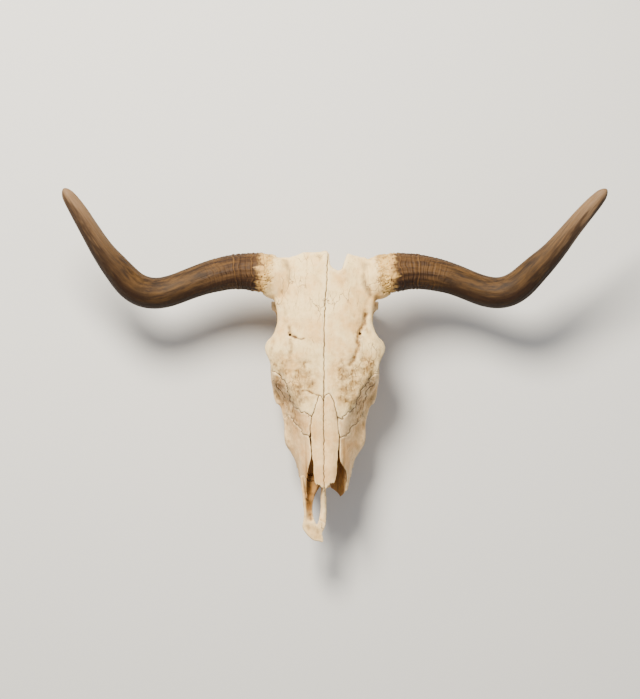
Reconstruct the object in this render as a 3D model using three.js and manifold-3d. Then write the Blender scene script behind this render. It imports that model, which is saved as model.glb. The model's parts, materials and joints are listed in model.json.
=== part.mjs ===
// A cow skull without its lower jaw, life size, in millimetres, with +Z up.
// It lies as it rests on a table: on its last cheek teeth and its occipital condyles, forehead up.
// The nose points to -Y and the poll to +Y, so the animal's left side is +X and its right side is -X.
// The skull is shaped as a whole and then parted along its sutures into the bones that are named.
import * as THREE from "three";
import { LoftGeometry } from "three/addons/geometries/LoftGeometry.js";
import { mergeVertices } from "three/addons/utils/BufferGeometryUtils.js";
import Module from "manifold-3d";

const wasm = await Module();
wasm.setup();

// ---------------------------------------------------------------- driving dimensions

const MIDLINE_X = -15.7; // the longer left horn puts the skull's midline off the middle of the whole
const OVER_MIDLINE = 12; // how far a bone may reach over to the other side
const SUTURE = 0.3; // gap between two bones
const MUZZLE_END = -222; // where the maxillae end
const POLL_END = 189; // rear edge of the poll
const BODY_STEPS = 21; // sections along the skull
const TOOTH_ROW = { front: -176, rear: -48, tilt: 0.345 }; // tilt is rise over run towards the nose
const TOOTH_LENGTHS = [15, 18, 19, 24, 27, 29]; // three premolars and three molars, front to rear
const TOOTH_HEIGHT = 28.5;
const NASAL_THICKNESS = 8;
const FORAMEN_MAGNUM_RADIUS = 18;
const ORBIT = { y: 8, z: 117, halfLength: 35, halfHeight: 33, rim: 8, out: 82.5, flare: 8 };
const CONDYLE = { x: 23, y: 127, z: 21, radii: [18, 22, 23] };

// Sizes that change along the skull, each as [place along Y, size] pairs.
const CROWN_Z = [[-214, 160], [-199, 165], [-130, 167], [-60, 173], [30, 178], [120, 168], [170, 161], [189, 150]];
const EDGE_X = [[-214, 24], [-140, 25], [-100, 32], [-60, 48], [-35, 63], [-18, 74], [0, 85], [15, 94], [30, 98],
  [45, 91], [60, 83], [78, 79], [100, 81], [125, 86], [150, 84], [172, 74], [189, 62]];
const EDGE_Z = [[-214, 150], [-140, 158], [-60, 160], [0, 153], [30, 150], [60, 150], [150, 143], [189, 143]];
const WAIST_X = [[-214, 33], [-180, 38], [-150, 42], [-118, 49], [-90, 55], [-60, 64], [-40, 76], [-28, 79],
  [-12, 42], [0, 36], [40, 36], [76, 48], [100, 60], [125, 62], [150, 54], [189, 40]];
const WAIST_Z = [[-214, 116], [-150, 128], [-118, 122], [-60, 118], [0, 117], [76, 116], [110, 105], [150, 118],
  [189, 140]];
const FLANK_X = [[-214, 36], [-189, 42], [-169, 45], [-156, 50], [-143, 58], [-129, 66], [-96, 68], [-83, 70],
  [-56, 75], [-43, 80], [-34, 86], [-26, 82], [-10, 36], [0, 30], [40, 30], [76, 44], [96, 88], [112, 89],
  [128, 68], [145, 46], [189, 30]];
const FLANK_Z = [[-214, 98], [-156, 92], [-118, 75], [-30, 72], [0, 88], [40, 80], [76, 76], [100, 60], [125, 62],
  [150, 90], [189, 138]];
const SILL_X = [[-214, 29], [-175, 42], [-118, 55], [-60, 60], [-48, 58], [-36, 46], [-20, 28], [0, 24], [60, 28],
  [100, 36], [125, 34], [145, 28], [189, 24]];
const SILL_Z = [[-214, 83], [-175, 69], [-118, 49], [-60, 29], [-48, 27], [-36, 40], [-20, 60], [0, 66], [50, 57],
  [100, 34], [125, 27], [140, 42], [160, 92], [189, 137]];
const KEEL_Z = [[-214, 92], [-175, 80], [-118, 62], [-60, 46], [-38, 45], [-20, 70], [0, 76], [50, 61], [100, 40],
  [125, 31], [140, 46], [160, 94], [189, 138]];

// Horn centre lines from the burr to the tip, as [x, y, z, radius] from the midline.
const HORN_RIGHT = [[-104, 155, 136, 32], [-139, 158.5, 134, 29.5], [-184, 151, 131, 27], [-224, 138, 130, 25],
  [-262, 123, 131, 25], [-291, 119.5, 134, 26], [-319, 130, 140, 25.5], [-341, 156, 150, 23.5],
  [-363, 182, 164, 19.5], [-380, 209, 180, 17], [-396, 236, 195, 15.2], [-411, 262, 208, 13.3],
  [-425, 281, 217, 12], [-429.5, 287, 220, 9]];
const HORN_LEFT = [[110, 155, 136, 32], [144, 159, 134, 29.5], [178, 154, 131, 27.5], [215, 145, 130, 25],
  [249, 130, 130, 24.5], [270, 122.5, 131, 25], [293, 119.5, 134, 26], [320, 130, 140, 25.5],
  [345, 156, 150, 23.5], [374, 183, 164, 19.2], [395, 209, 180, 16.6], [416, 236, 195, 14.6],
  [438, 262, 208, 13], [457, 281, 217, 12], [462, 286.3, 219.5, 9]];

// Suture lines of one side, seen from above as [distance from the midline, y].
const NASAL_OUTLINE = [[0, -50], [3, -46], [8, -47], [12, -62], [18, -80], [22, -92], [22.5, -120], [22, -165],
  [20, -185], [13, -199], [5, -196], [2, -203], [0, -203]];
const FRONTAL_OUTLINE = [[0, -88], [27, -87], [32, -79], [40, -78], [45, -71], [52, -67], [56, -51], [60, -36],
  [66, -24], [80, -14], [130, -14], [130, 220], [0, 220]];
const LACRIMAL_OUTLINE = [[10, -119], [24, -118], [42, -104], [53, -94], [64, -79], [65, -62], [72, -47], [84, -29],
  [60, -10], [20, -10]];
const ZYGOMATIC_OUTLINE = [[62, -79], [130, -79], [130, 54], [66, 54], [60, 20], [50, -26], [62, -40]];
const PREMAXILLA_OUTLINE = [[-10, -192], [28, -192], [38, -178], [70, -178], [70, -320], [-10, -320]];
// The same bones seen from the side, as [y, z].
const PREMAXILLA_SIDE = [[-320, 40], [-205, 70], [-192, 90], [-160, 200], [-320, 200]];
const FRONTAL_SIDE = [[-100, 146], [-60, 140], [-30, 128], [20, 118], [60, 106], [118, 104], [160, 122],
  [184, 134], [200, 134], [200, 260], [-100, 260]];
const LACRIMAL_SIDE = [[-130, 128], [-80, 104], [-34, 90], [-5, 110], [-5, 200], [-130, 200]];
const ZYGOMATIC_SIDE = [[-90, 93], [-70, 76], [-44, 56], [-20, 50], [42, 48], [50, 74], [54, 122], [20, 122],
  [10, 152], [-60, 152], [-90, 122]];
const TEMPORAL_SIDE = [[34, 40], [80, 46], [118, 40], [126, 110], [90, 104], [58, 106], [42, 90]];
const MAXILLA_SIDE = [[-320, -60], [-32, -60], [-32, 52], [-20, 70], [-20, 240], [-320, 240]];
const BASE_SIDE = [[-60, -60], [70, -60], [78, 50], [70, 240], [-60, 240]];

// ---------------------------------------------------------------- helpers

// A smooth curve through [place, size] pairs that never overshoots them.
function track(pairs) {
  const slope = pairs.slice(1).map(([y, v], i) => (v - pairs[i][1]) / (y - pairs[i][0]));
  const tangent = pairs.map((_, i) => {
    const before = slope[Math.max(i - 1, 0)];
    const after = slope[Math.min(i, slope.length - 1)];
    return before * after <= 0 ? 0 : (2 * before * after) / (before + after);
  });
  return (y) => {
    let i = 0;
    while (i < pairs.length - 2 && y > pairs[i + 1][0]) i += 1;
    const span = pairs[i + 1][0] - pairs[i][0];
    const t = THREE.MathUtils.clamp((y - pairs[i][0]) / span, 0, 1);
    const rise = pairs[i + 1][1] - pairs[i][1];
    return pairs[i][1] + rise * t * t * (3 - 2 * t)
      + span * t * (1 - t) * ((1 - t) * tangent[i] - t * tangent[i + 1]);
  };
}

// A closed geometry as a solid with its faces pointing out.
function solid(geometry) {
  const bare = new THREE.BufferGeometry();
  bare.setAttribute("position", geometry.getAttribute("position"));
  bare.setIndex(geometry.getIndex());
  const merged = mergeVertices(bare, 1e-4);
  const triVerts = new Uint32Array(merged.index.array);
  const vertProperties = new Float32Array(merged.attributes.position.array);
  const made = new wasm.Manifold(new wasm.Mesh({ numProp: 3, vertProperties, triVerts }));
  if (made.volume() >= 0) return made;
  for (let i = 0; i < triVerts.length; i += 3) {
    [triVerts[i], triVerts[i + 1]] = [triVerts[i + 1], triVerts[i]];
  }
  return new wasm.Manifold(new wasm.Mesh({ numProp: 3, vertProperties, triVerts }));
}

const join = (...solids) => solids.reduce((whole, next) => whole.add(next));

// A closed skin over rings of points, turned so that the rings run counter-clockwise about the loft's way.
function loft(rings) {
  const [first, second] = rings;
  const middle = (ring) => ring.reduce((sum, p) => sum.add(p), new THREE.Vector3()).divideScalar(ring.length);
  const area = new THREE.Vector3();
  first.forEach((p, i) => area.add(new THREE.Vector3().crossVectors(p, first[(i + 1) % first.length])));
  const turned = area.dot(middle(second).sub(middle(first))) < 0;
  const wound = turned ? rings.map((ring) => [...ring].reverse()) : rings;
  return solid(new LoftGeometry(wound, { closed: true, capStart: true, capEnd: true }));
}

// A polygon moved inwards by a distance, so that two neighbours keep a gap.
function inset(points, distance) {
  const turn = Math.sign(THREE.ShapeUtils.area(points.map(([a, b]) => new THREE.Vector2(a, b))));
  return points.map(([a, b], i) => {
    const before = points[(i + points.length - 1) % points.length];
    const after = points[(i + 1) % points.length];
    const inward = [[a - before[0], b - before[1]], [after[0] - a, after[1] - b]].map(([u, v]) => {
      const length = Math.hypot(u, v);
      return [(-v / length) * turn, (u / length) * turn];
    });
    const mean = [inward[0][0] + inward[1][0], inward[0][1] + inward[1][1]];
    const reach = distance / Math.max(0.4, (mean[0] ** 2 + mean[1] ** 2) / 2);
    return [a + mean[0] * reach, b + mean[1] * reach];
  });
}

const shapeOf = (points) => new THREE.Shape(points.map(([a, b]) => new THREE.Vector2(a, b)));

// An outline in plan, on the side +1 or -1 of the midline, carried up from low to high.
function upright(points, side = 1, low = -60, high = 300) {
  const shape = shapeOf(points.map(([x, y]) => [side * x, y]));
  const geometry = new THREE.ExtrudeGeometry(shape, { depth: high - low, bevelEnabled: false });
  return solid(geometry.translate(0, 0, low));
}

// An outline seen from the side, carried across from the distance near to far on the side +1 or -1.
function across(points, side = 1, near = 0, far = 300) {
  const geometry = new THREE.ExtrudeGeometry(shapeOf(points), { depth: far - near, bevelEnabled: false });
  const axes = new THREE.Matrix4().makeBasis(
    new THREE.Vector3(0, 1, 0),
    new THREE.Vector3(0, 0, 1),
    new THREE.Vector3(1, 0, 0),
  );
  return solid(geometry.applyMatrix4(axes).translate(side > 0 ? near : -far, 0, 0));
}

// An ellipsoid about a centre.
function ellipsoid([x, y, z], [a, b, c], columns = 12, rows = 8) {
  return solid(new THREE.SphereGeometry(1, columns, rows).scale(a, b, c).translate(x, y, z));
}

// A bar along points [x, y, z, half width, half height]; its section is an ellipse with level or upright axes.
function bar(stations, side = 1, sides = 10, steps = 2) {
  const points = stations.map(([x, y, z]) => new THREE.Vector3(side * x, y, z));
  const path = new THREE.CatmullRomCurve3(points);
  const sizes = new THREE.CatmullRomCurve3(stations.map((s) => new THREE.Vector3(s[3], s[4] ?? s[3], 0)));
  const count = Math.round((stations.length - 1) * steps);
  const rings = Array.from({ length: count + 1 }, (_, i) => {
    const centre = path.getPoint(i / count);
    const ahead = path.getTangent(i / count);
    const size = sizes.getPoint(i / count);
    const up = Math.abs(ahead.z) > 0.8 ? new THREE.Vector3(0, 1, 0) : new THREE.Vector3(0, 0, 1);
    const level = new THREE.Vector3().crossVectors(up, ahead).normalize();
    const rise = new THREE.Vector3().crossVectors(ahead, level).normalize();
    return Array.from({ length: sides }, (_, k) => {
      const angle = (2 * Math.PI * k) / sides;
      return centre.clone()
        .addScaledVector(level, size.x * Math.cos(angle))
        .addScaledVector(rise, size.y * Math.sin(angle));
    });
  });
  return loft(rings);
}

// ---------------------------------------------------------------- the skull as a whole

const sizes = Object.fromEntries(
  Object.entries({
    crownZ: CROWN_Z, edgeX: EDGE_X, edgeZ: EDGE_Z, waistX: WAIST_X, waistZ: WAIST_Z, flankX: FLANK_X,
    flankZ: FLANK_Z, sillX: SILL_X, sillZ: SILL_Z, keelZ: KEEL_Z,
  }).map(([name, pairs]) => [name, track(pairs)]),
);

// The skull's section at y: crown, roof edge, waist, flank, sill and keel, joined by one smooth loop.
function bodySection(y) {
  const at = (name) => sizes[name](y);
  const half = [
    [0, at("crownZ")],
    [0.55 * at("edgeX"), at("crownZ") - 0.22 * (at("crownZ") - at("edgeZ"))],
    [at("edgeX"), at("edgeZ")],
    [at("waistX"), at("waistZ")],
    [at("flankX"), at("flankZ")],
    [at("sillX"), at("sillZ")],
    [0, at("keelZ")],
  ];
  const mirrored = half.slice(1, -1).reverse().map(([x, z]) => [-x, z]);
  const loop = [...half, ...mirrored].map(([x, z]) => new THREE.Vector3(x, y, z));
  return new THREE.CatmullRomCurve3(loop, true, "centripetal").getPoints(2 * loop.length).slice(0, -1);
}

// Sections lie closer together where the face drops away into the orbit and at both ends.
function body() {
  const places = [];
  const length = POLL_END - MUZZLE_END;
  for (let i = 0; i <= BODY_STEPS; i += 1) places.push(MUZZLE_END + (length * i) / BODY_STEPS);
  places.push(-44, -30, -20, -9, POLL_END - 5);
  places.sort((a, b) => a - b);
  return loft(places.map(bodySection));
}

// The rim of an eye socket: a closed ring that leans out at its upper rear and its lower front.
function orbitRim(side) {
  const ringCount = 14;
  const tube = 6;
  const rings = Array.from({ length: ringCount + 1 }, (_, i) => {
    const turn = (2 * Math.PI * (i % ringCount)) / ringCount;
    const out = ORBIT.out + ORBIT.flare * Math.exp(-(((turn - Math.PI / 4) / 0.6) ** 2));
    const outward = new THREE.Vector3(0, Math.cos(turn), Math.sin(turn));
    const y = ORBIT.y + ORBIT.halfLength * Math.cos(turn);
    const z = ORBIT.z + ORBIT.halfHeight * Math.sin(turn);
    return Array.from({ length: tube }, (_, k) => {
      const angle = (2 * Math.PI * k) / tube;
      return new THREE.Vector3(side * out, y, z)
        .addScaledVector(outward, ORBIT.rim * Math.cos(angle))
        .add(new THREE.Vector3(side * ORBIT.rim * 0.9 * Math.sin(angle), 0, 0));
    });
  });
  return solid(new LoftGeometry(rings, { closed: true }));
}

// Cheek teeth of one side, standing in the tilted row, narrower at the front.
function teeth(side) {
  const along = Math.atan(TOOTH_ROW.tilt);
  const total = TOOTH_LENGTHS.reduce((sum, length) => sum + length, 0);
  const scale = (TOOTH_ROW.rear - TOOTH_ROW.front) / Math.cos(along) / total;
  let start = 0;
  const blocks = TOOTH_LENGTHS.map((length, i) => {
    const middle = (start + length / 2) * scale * Math.cos(along);
    start += length;
    const y = TOOTH_ROW.front + middle;
    const root = track(SILL_Z)(y);
    const x = 36 + 11 * Math.sin((Math.PI / 2) * ((i + 0.6) / TOOTH_LENGTHS.length));
    const halfWidth = 7 + 0.9 * i;
    const halfLength = (length * scale) / 2 - 0.7;
    const place = new THREE.Matrix4().makeRotationX(-along).setPosition(side * x, y, root);
    const ring = (drop, share) => [
      [-1, -0.6], [-0.6, -1], [0.6, -1], [1, -0.6], [1, 0.6], [0.6, 1], [-0.6, 1], [-1, 0.6],
    ].map(([u, v]) => new THREE.Vector3(u * halfWidth * share, v * halfLength * share, -drop).applyMatrix4(place));
    return loft([ring(-20, 0.9), ring(TOOTH_HEIGHT - 3, 1), ring(TOOTH_HEIGHT, 0.86)]);
  });
  return join(...blocks);
}

// The zygomatic bar under the orbit and the arch behind it.
const zygomaticArch = (side) => bar([
  [72, -62, 76, 8, 13], [80, -32, 77, 9, 15], [84, -4, 78, 7, 12], [82, 22, 74, 6, 10], [76, 46, 66, 5.5, 8],
  [75, 72, 61, 5.5, 8], [75, 98, 60, 9, 10],
], side, 8, 1);

// The wings of the palatine and pterygoid bones, down to the hook.
const pterygoid = (side) => across([
  [-62, 42], [-40, 30], [-24, 11], [-16, 10], [-6, 34], [20, 52], [34, 66], [20, 74], [-62, 66],
], side, 16, 22);

const hornBase = (side) => Math.abs((side > 0 ? HORN_LEFT : HORN_RIGHT)[0][0]);

// The slab from one distance off the midline to another.
const slab = (side, from, to) => upright([[from, -400], [to, -400], [to, 400], [from, 400]], side);

// The horn core's foot: a short trunk from the frontal bone to the rough ring round it.
function hornFoot(side, spare = 0) {
  const route = side > 0 ? HORN_LEFT : HORN_RIGHT;
  const [x, y, z, radius] = route[0];
  const near = Math.abs(x);
  const trunk = bar([
    [near - 52, y - 10, z + 4, 44, 22], [near - 24, y - 9, z + 2, 37, radius - 5],
    [near - 10, y - 3, z, radius + 2, radius], [near + 4, y, z, radius + 0.8, radius],
  ].map((station) => [...station.slice(0, 3), station[3] + spare, station[4] + spare]), side, 12, 1);
  return trunk.intersect(slab(side, 0, near - SUTURE));
}

function wholeSkull() {
  const sides = [1, -1];
  const solids = [body()];
  for (const side of sides) {
    solids.push(
      orbitRim(side),
      teeth(side),
      zygomaticArch(side),
      pterygoid(side),
      ellipsoid([side * CONDYLE.x, CONDYLE.y, CONDYLE.z], CONDYLE.radii, 10, 8),
      ellipsoid([side * 36, 84, 42], [11, 15, 17], 8, 6),
      bar([[62, 108, 62, 12], [57, 101, 40, 9], [52, 94, 18, 7], [49, 90, 4, 4]], side, 8, 1),
    );
  }
  return join(...solids);
}

// The nasal cavity, open in front and beside the nasal bones, and blind at its rear end. Its margins are not alike:
// [y, right margin, left margin, floor].
const CAVITY = [[-112, 24, 23, 120], [-125, 25, 24.4, 104], [-150, 23, 24.4, 104], [-172, 28, 33, 104],
  [-189, 30, 36.5, 105], [-206, 30.7, 36, 105], [-252, 27, 36, 106]];

function nasalCavity() {
  const top = 230;
  return loft(CAVITY.map(([y, right, left, floor]) => {
    const corners = [[-right, floor], [-right, top], [left, top], [left, floor], [0.8 * left, floor - 8],
      [-0.8 * right, floor - 8]];
    return corners.map(([x, z]) => new THREE.Vector3(x, y, z));
  }));
}

// What is taken away from the whole: the ground, the brain's way out, the broken notch in the poll, the low
// saddles between the poll and the horns, and the broken front of the left maxilla.
function hollows() {
  const ground = upright([[-600, -600], [600, -600], [600, 600], [-600, 600]], 1, -100, 0);
  const brainWay = bar([[0, 168, 54, FORAMEN_MAGNUM_RADIUS + 4], [0, 140, 50, FORAMEN_MAGNUM_RADIUS],
    [0, 104, 62, FORAMEN_MAGNUM_RADIUS - 3]], 1, 12, 1);
  const notch = upright([[6.6, 195], [6.6, 174], [8, 167], [13, 163], [21.6, 158], [29, 161.5], [32, 170],
    [35, 180], [38, 189], [38, 195]]);
  const saddle = [[37, 188.6], [48, 184], [58, 181.5], [82, 181], [82, 260], [37, 260]];
  const brokenFront = [[-1, -205], [8, -203], [16, -207], [26.5, -219], [36, -209], [42, -200], [90, -200], [90, -330],
    [-1, -330]];
  return join(ground, brainWay, notch, upright(saddle, 1), upright(saddle, -1), upright(brokenFront, 1));
}

// The right premaxilla: a plate along the muzzle that flares at its front, a thin bar beside the midline, and the
// palatine fissure between them.
const PREMAXILLA_PLATE = [[39.5, -184], [39, -197], [37.1, -216], [34.6, -254], [37.1, -266], [33.5, -276],
  [26.6, -285], [17.1, -291.5], [3.8, -294.4], [2.2, -288.7], [5.7, -279.2], [0.9, -271.6], [-0.5, -264],
  [10, -256], [20, -230], [10, -184]];
const PREMAXILLA_HEIGHT = [[-184, 124], [-216, 120], [-240, 116], [-280, 113], [-298, 109], [-298, 106], [-262, 103],
  [-240, 99], [-216, 95], [-184, 88]];
const FISSURE = [[6.6, -202], [13.3, -210.5], [18, -220], [20.9, -235.3], [20, -248.7], [17.5, -259], [13.7, -265],
  [9.5, -254], [8, -235], [7, -215]];

function premaxillaRight() {
  const plate = upright(PREMAXILLA_PLATE, -1).intersect(across(PREMAXILLA_HEIGHT, -1, -5));
  const inner = bar([[2.6, -196, 97, 4.5, 5], [2.8, -230, 102, 5, 4], [4, -256, 106, 5.5, 4.5], [7, -272, 108, 6, 4]],
    -1, 6, 1);
  return join(plate, inner);
}

// ---------------------------------------------------------------- the bones

const BONE_LIGHT = { color: 0xd9c7a8, roughness: 0.62, metalness: 0 };
const BONE_WARM = { color: 0xc4a883, roughness: 0.66, metalness: 0 };
const HORN = { color: 0x6b5038, roughness: 0.48, metalness: 0 };

const group = new THREE.Group();
group.name = "cow_skull";

// The largest body of a solid, without the slivers that a cut leaves.
function main(part) {
  const bodies = part.decompose();
  return bodies.reduce((best, next) => (next.volume() > best.volume() ? next : best));
}

function place(name, part, finish) {
  const mesh = part.getMesh();
  const geometry = new THREE.BufferGeometry();
  geometry.setAttribute("position", new THREE.BufferAttribute(new Float32Array(mesh.vertProperties), 3));
  geometry.setIndex(new THREE.BufferAttribute(new Uint32Array(mesh.triVerts), 1));
  geometry.computeVertexNormals();
  const node = new THREE.Mesh(geometry, new THREE.MeshStandardMaterial(finish));
  node.name = name;
  node.position.x = MIDLINE_X;
  group.add(node);
}

let rest = wholeSkull().subtract(hollows());

// Takes the stretch of the skull inside all the outlines, with the suture's gap, and leaves the remainder.
function take(name, side, plan, profile, finish, extra = null) {
  const region = upright(plan, side).intersect(across(profile, side, -OVER_MIDLINE));
  const inner = upright(inset(plan, SUTURE), side).intersect(across(inset(profile, SUTURE), side, -OVER_MIDLINE));
  const part = rest.intersect(inner);
  rest = rest.subtract(region);
  place(name, main(extra ? extra(part) : part), finish);
}

const SIDES = [["left", 1], ["right", -1]];
const nasalSeat = track(CROWN_Z);
const NASAL_SIDE = [...[-215, -170, -120, -44].map((y) => [y, nasalSeat(y) - NASAL_THICKNESS]), [-44, 230], [-215, 230]];
const WIDE = [[0, -400], [200, -400], [200, 400], [0, 400]];

for (const [name, side] of SIDES) take(`nasal_${name}`, side, NASAL_OUTLINE, NASAL_SIDE, BONE_LIGHT);
rest = rest.subtract(nasalCavity()).add(premaxillaRight()).subtract(upright(FISSURE, -1));
take("premaxilla_right", -1, PREMAXILLA_OUTLINE, PREMAXILLA_SIDE, BONE_LIGHT);
for (const [name, side] of SIDES) {
  take(`frontal_${name}`, side, FRONTAL_OUTLINE, FRONTAL_SIDE, BONE_LIGHT, (part) => part.add(hornFoot(side)));
  rest = rest.subtract(hornFoot(side, SUTURE));
}
for (const [name, side] of SIDES) {
  take(`lacrimal_${name}`, side, LACRIMAL_OUTLINE, LACRIMAL_SIDE, BONE_WARM);
  take(`zygomatic_${name}`, side, ZYGOMATIC_OUTLINE, ZYGOMATIC_SIDE, BONE_WARM);
  take(`temporal_${name}`, side, [[40, 34], [130, 34], [130, 130], [40, 130]], TEMPORAL_SIDE, BONE_WARM);
  take(`maxilla_${name}`, side, WIDE, MAXILLA_SIDE, BONE_LIGHT);
}
const baseRegion = across(BASE_SIDE, 1, -200, 200);
place("sphenoid_palatine", main(rest.intersect(across(inset(BASE_SIDE, SUTURE), 1, -200, 200))), BONE_WARM);
rest = rest.subtract(baseRegion);
place("occipital", main(rest), BONE_WARM);

function horn(route, side) {
  const stations = route.map(([x, y, z, radius]) => [Math.abs(x), y, z, radius, radius * 0.94]);
  const [x, y, z, radius] = stations[stations.length - 1];
  const tip = [x + 4.5, y + 6, z + 2.5, radius * 0.55, radius * 0.5];
  return bar([...stations, tip], side, 12, 1.5).intersect(slab(side, hornBase(side), 600));
}
place("horn_left", horn(HORN_LEFT, 1), HORN);
place("horn_right", horn(HORN_RIGHT, -1), HORN);

export default group;
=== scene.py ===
import json
import math

import bpy
import numpy as np
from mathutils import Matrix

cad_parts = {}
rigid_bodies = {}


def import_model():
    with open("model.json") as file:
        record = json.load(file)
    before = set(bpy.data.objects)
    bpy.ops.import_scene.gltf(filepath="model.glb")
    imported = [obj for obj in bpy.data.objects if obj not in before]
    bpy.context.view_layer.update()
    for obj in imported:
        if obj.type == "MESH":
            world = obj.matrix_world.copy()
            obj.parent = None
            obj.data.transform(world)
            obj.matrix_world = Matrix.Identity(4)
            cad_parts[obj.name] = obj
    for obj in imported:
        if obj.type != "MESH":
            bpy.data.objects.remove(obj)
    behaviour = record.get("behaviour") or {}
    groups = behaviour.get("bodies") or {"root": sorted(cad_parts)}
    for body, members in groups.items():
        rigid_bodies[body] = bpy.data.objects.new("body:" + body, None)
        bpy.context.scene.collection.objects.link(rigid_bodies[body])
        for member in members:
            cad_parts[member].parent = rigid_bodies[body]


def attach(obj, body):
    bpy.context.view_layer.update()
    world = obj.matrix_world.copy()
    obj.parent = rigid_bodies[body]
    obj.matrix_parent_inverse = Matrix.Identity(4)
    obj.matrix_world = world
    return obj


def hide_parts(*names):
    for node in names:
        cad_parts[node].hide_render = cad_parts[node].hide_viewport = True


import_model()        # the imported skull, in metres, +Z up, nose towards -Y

for startup in [o for o in bpy.data.objects if o.name in ("Cube", "Light", "Camera")]:
    bpy.data.objects.remove(startup)
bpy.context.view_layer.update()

# ---------------------------------------------------------------- sizes, in millimetres

MM = 0.001
MIDLINE_X = -15.7           # the skull's midline in the frame
MUZZLE_END, POLL_END = -222.0, 189.0
VOXEL = 1.3                 # how fine the skull's skin is
SUTURE = 0.3                # gap between two bones
CUT = (-60, 300)            # from below the skull to above it: the heights of what is cut away
REACH = (-100, 300)         # and of the regions that part the bones

# Sizes that change along the skull, as (place along y, size) pairs.
CROWN_Z = ((-214, 160), (-199, 165), (-130, 167), (-60, 173), (30, 178), (120, 168), (170, 161), (189, 150))
EDGE_X = ((-214, 24), (-140, 25), (-100, 32), (-60, 48), (-35, 63), (-18, 74), (0, 85), (15, 94), (30, 98),
          (45, 91), (60, 83), (78, 79), (100, 81), (125, 86), (150, 84), (172, 74), (189, 62))
EDGE_Z = ((-214, 150), (-140, 158), (-60, 160), (0, 153), (30, 150), (60, 150), (150, 143), (189, 143))
WAIST_X = ((-214, 33), (-180, 38), (-150, 42), (-118, 49), (-90, 55), (-60, 64), (-40, 76), (-28, 79),
           (-12, 42), (0, 36), (40, 36), (76, 48), (100, 60), (125, 62), (150, 54), (189, 40))
WAIST_Z = ((-214, 116), (-150, 128), (-118, 122), (-60, 118), (0, 117), (76, 116), (110, 105), (150, 118),
           (189, 140))
FLANK_X = ((-214, 36), (-189, 42), (-169, 45), (-156, 50), (-143, 58), (-129, 66), (-96, 68), (-83, 70),
           (-56, 75), (-43, 80), (-34, 86), (-26, 82), (-10, 36), (0, 30), (40, 30), (76, 44), (96, 90.5),
           (112, 91), (128, 68), (145, 46), (189, 30))
FLANK_Z = ((-214, 98), (-156, 92), (-118, 75), (-30, 72), (0, 88), (40, 80), (76, 76), (100, 60), (125, 62),
           (150, 90), (189, 138))
SILL_X = ((-214, 29), (-175, 42), (-118, 55), (-60, 60), (-48, 58), (-36, 46), (-20, 28), (0, 24), (60, 28),
          (100, 36), (125, 34), (145, 28), (189, 24))
SILL_Z = ((-214, 83), (-175, 69), (-118, 49), (-60, 29), (-48, 27), (-36, 40), (-20, 60), (0, 66), (50, 57),
          (100, 34), (125, 27), (140, 42), (160, 92), (189, 137))
KEEL_Z = ((-214, 92), (-175, 80), (-118, 62), (-60, 46), (-38, 45), (-20, 70), (0, 76), (50, 61), (100, 40),
          (125, 31), (140, 46), (160, 94), (189, 138))

ORBIT_Y, ORBIT_Z, ORBIT_HALF_LENGTH, ORBIT_HALF_HEIGHT, ORBIT_RIM = 8.0, 117.0, 35.0, 33.0, 8.0
# The rim's distance from the midline, its lean at the upper rear, and the turn where it leans most.
ORBIT_OUT, ORBIT_FLARE, ORBIT_FLARE_TURN = 82.5, 11.0, 0.9
NASAL_THICKNESS = 8.0

# Horn centre lines from the burr to the tip: x, y, z and radius.
HORN_RIGHT = ((-104, 155, 136, 32), (-139, 158.5, 134, 29.5), (-184, 151, 131, 27), (-224, 138, 130, 25),
              (-262, 123, 131, 25), (-291, 119.5, 134, 26), (-319, 130, 140, 25.5), (-341, 156, 150, 23.5),
              (-363, 182, 164, 19.5), (-380, 209, 180, 17), (-396, 236, 195, 15.2), (-411, 262, 208, 13.3),
              (-423.5, 280, 216, 11.2), (-431.5, 293, 222, 7.4))
HORN_LEFT = ((110, 155, 136, 32), (144, 159, 134, 29.5), (178, 154, 131, 27.5), (215, 145, 130, 25),
             (249, 130, 130, 24.5), (270, 122.5, 131, 25), (293, 119.5, 134, 26), (320, 130, 140, 25.5),
             (345, 156, 150, 23.5), (374, 183, 164, 19.2), (395, 209, 180, 16.6), (416, 236, 195, 14.6),
             (438, 262, 208, 13), (454.5, 280, 216, 11.0), (465, 292, 221, 7.2))

# Sutures seen from above, as x and y. The left side of the animal is at +x.
MIDLINE = ((6.2, 200), (4.4, 172), (2.4, 135), (0.2, 98), (-0.8, 60), (-1.2, 20), (-2.3, -56), (-2.2, -100),
           (-1.6, -150), (-1.4, -260))
NASAL_EDGE_LEFT = ((-2.3, -57), (-0.7, -49.5), (7.5, -45.3), (13, -55), (18, -73), (21, -86), (21.7, -100),
                   (23.6, -117), (22.3, -139), (20.4, -166), (19.6, -180), (18.2, -188.7), (14.5, -195.8),
                   (12.6, -192.8), (10.6, -196.4), (8.8, -193.4), (7, -199.8), (5.2, -197), (3.5, -204.4),
                   (1.8, -203), (-1.4, -213))
NASAL_EDGE_RIGHT = ((-2.3, -60), (-6, -50), (-9.5, -48), (-11, -52), (-19, -76), (-22, -84), (-24, -96),
                    (-24.4, -111), (-22, -139), (-19.5, -166), (-18.4, -185), (-17, -193), (-14.5, -199),
                    (-12.6, -195.2), (-10, -198.8), (-8.2, -195.6), (-6, -203), (-4.6, -200.6), (-3, -209),
                    (-1.4, -213))
FRONTAL_EDGE_LEFT = ((-2.3, -88), (22.4, -86), (29, -89.3), (32, -80.5), (40.8, -76.7), (46.8, -71.4),
                     (51.3, -64), (57.3, -52), (64, -37.5), (70.5, -27), (80, -14), (110, -14))
FRONTAL_EDGE_RIGHT = ((-2.3, -85), (-22, -84), (-27, -85.6), (-31.7, -79), (-40.7, -77.5), (-45, -73),
                      (-51, -67), (-57, -52), (-64, -30), (-73, -16.6), (-80, -8), (-104, -8))
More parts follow.
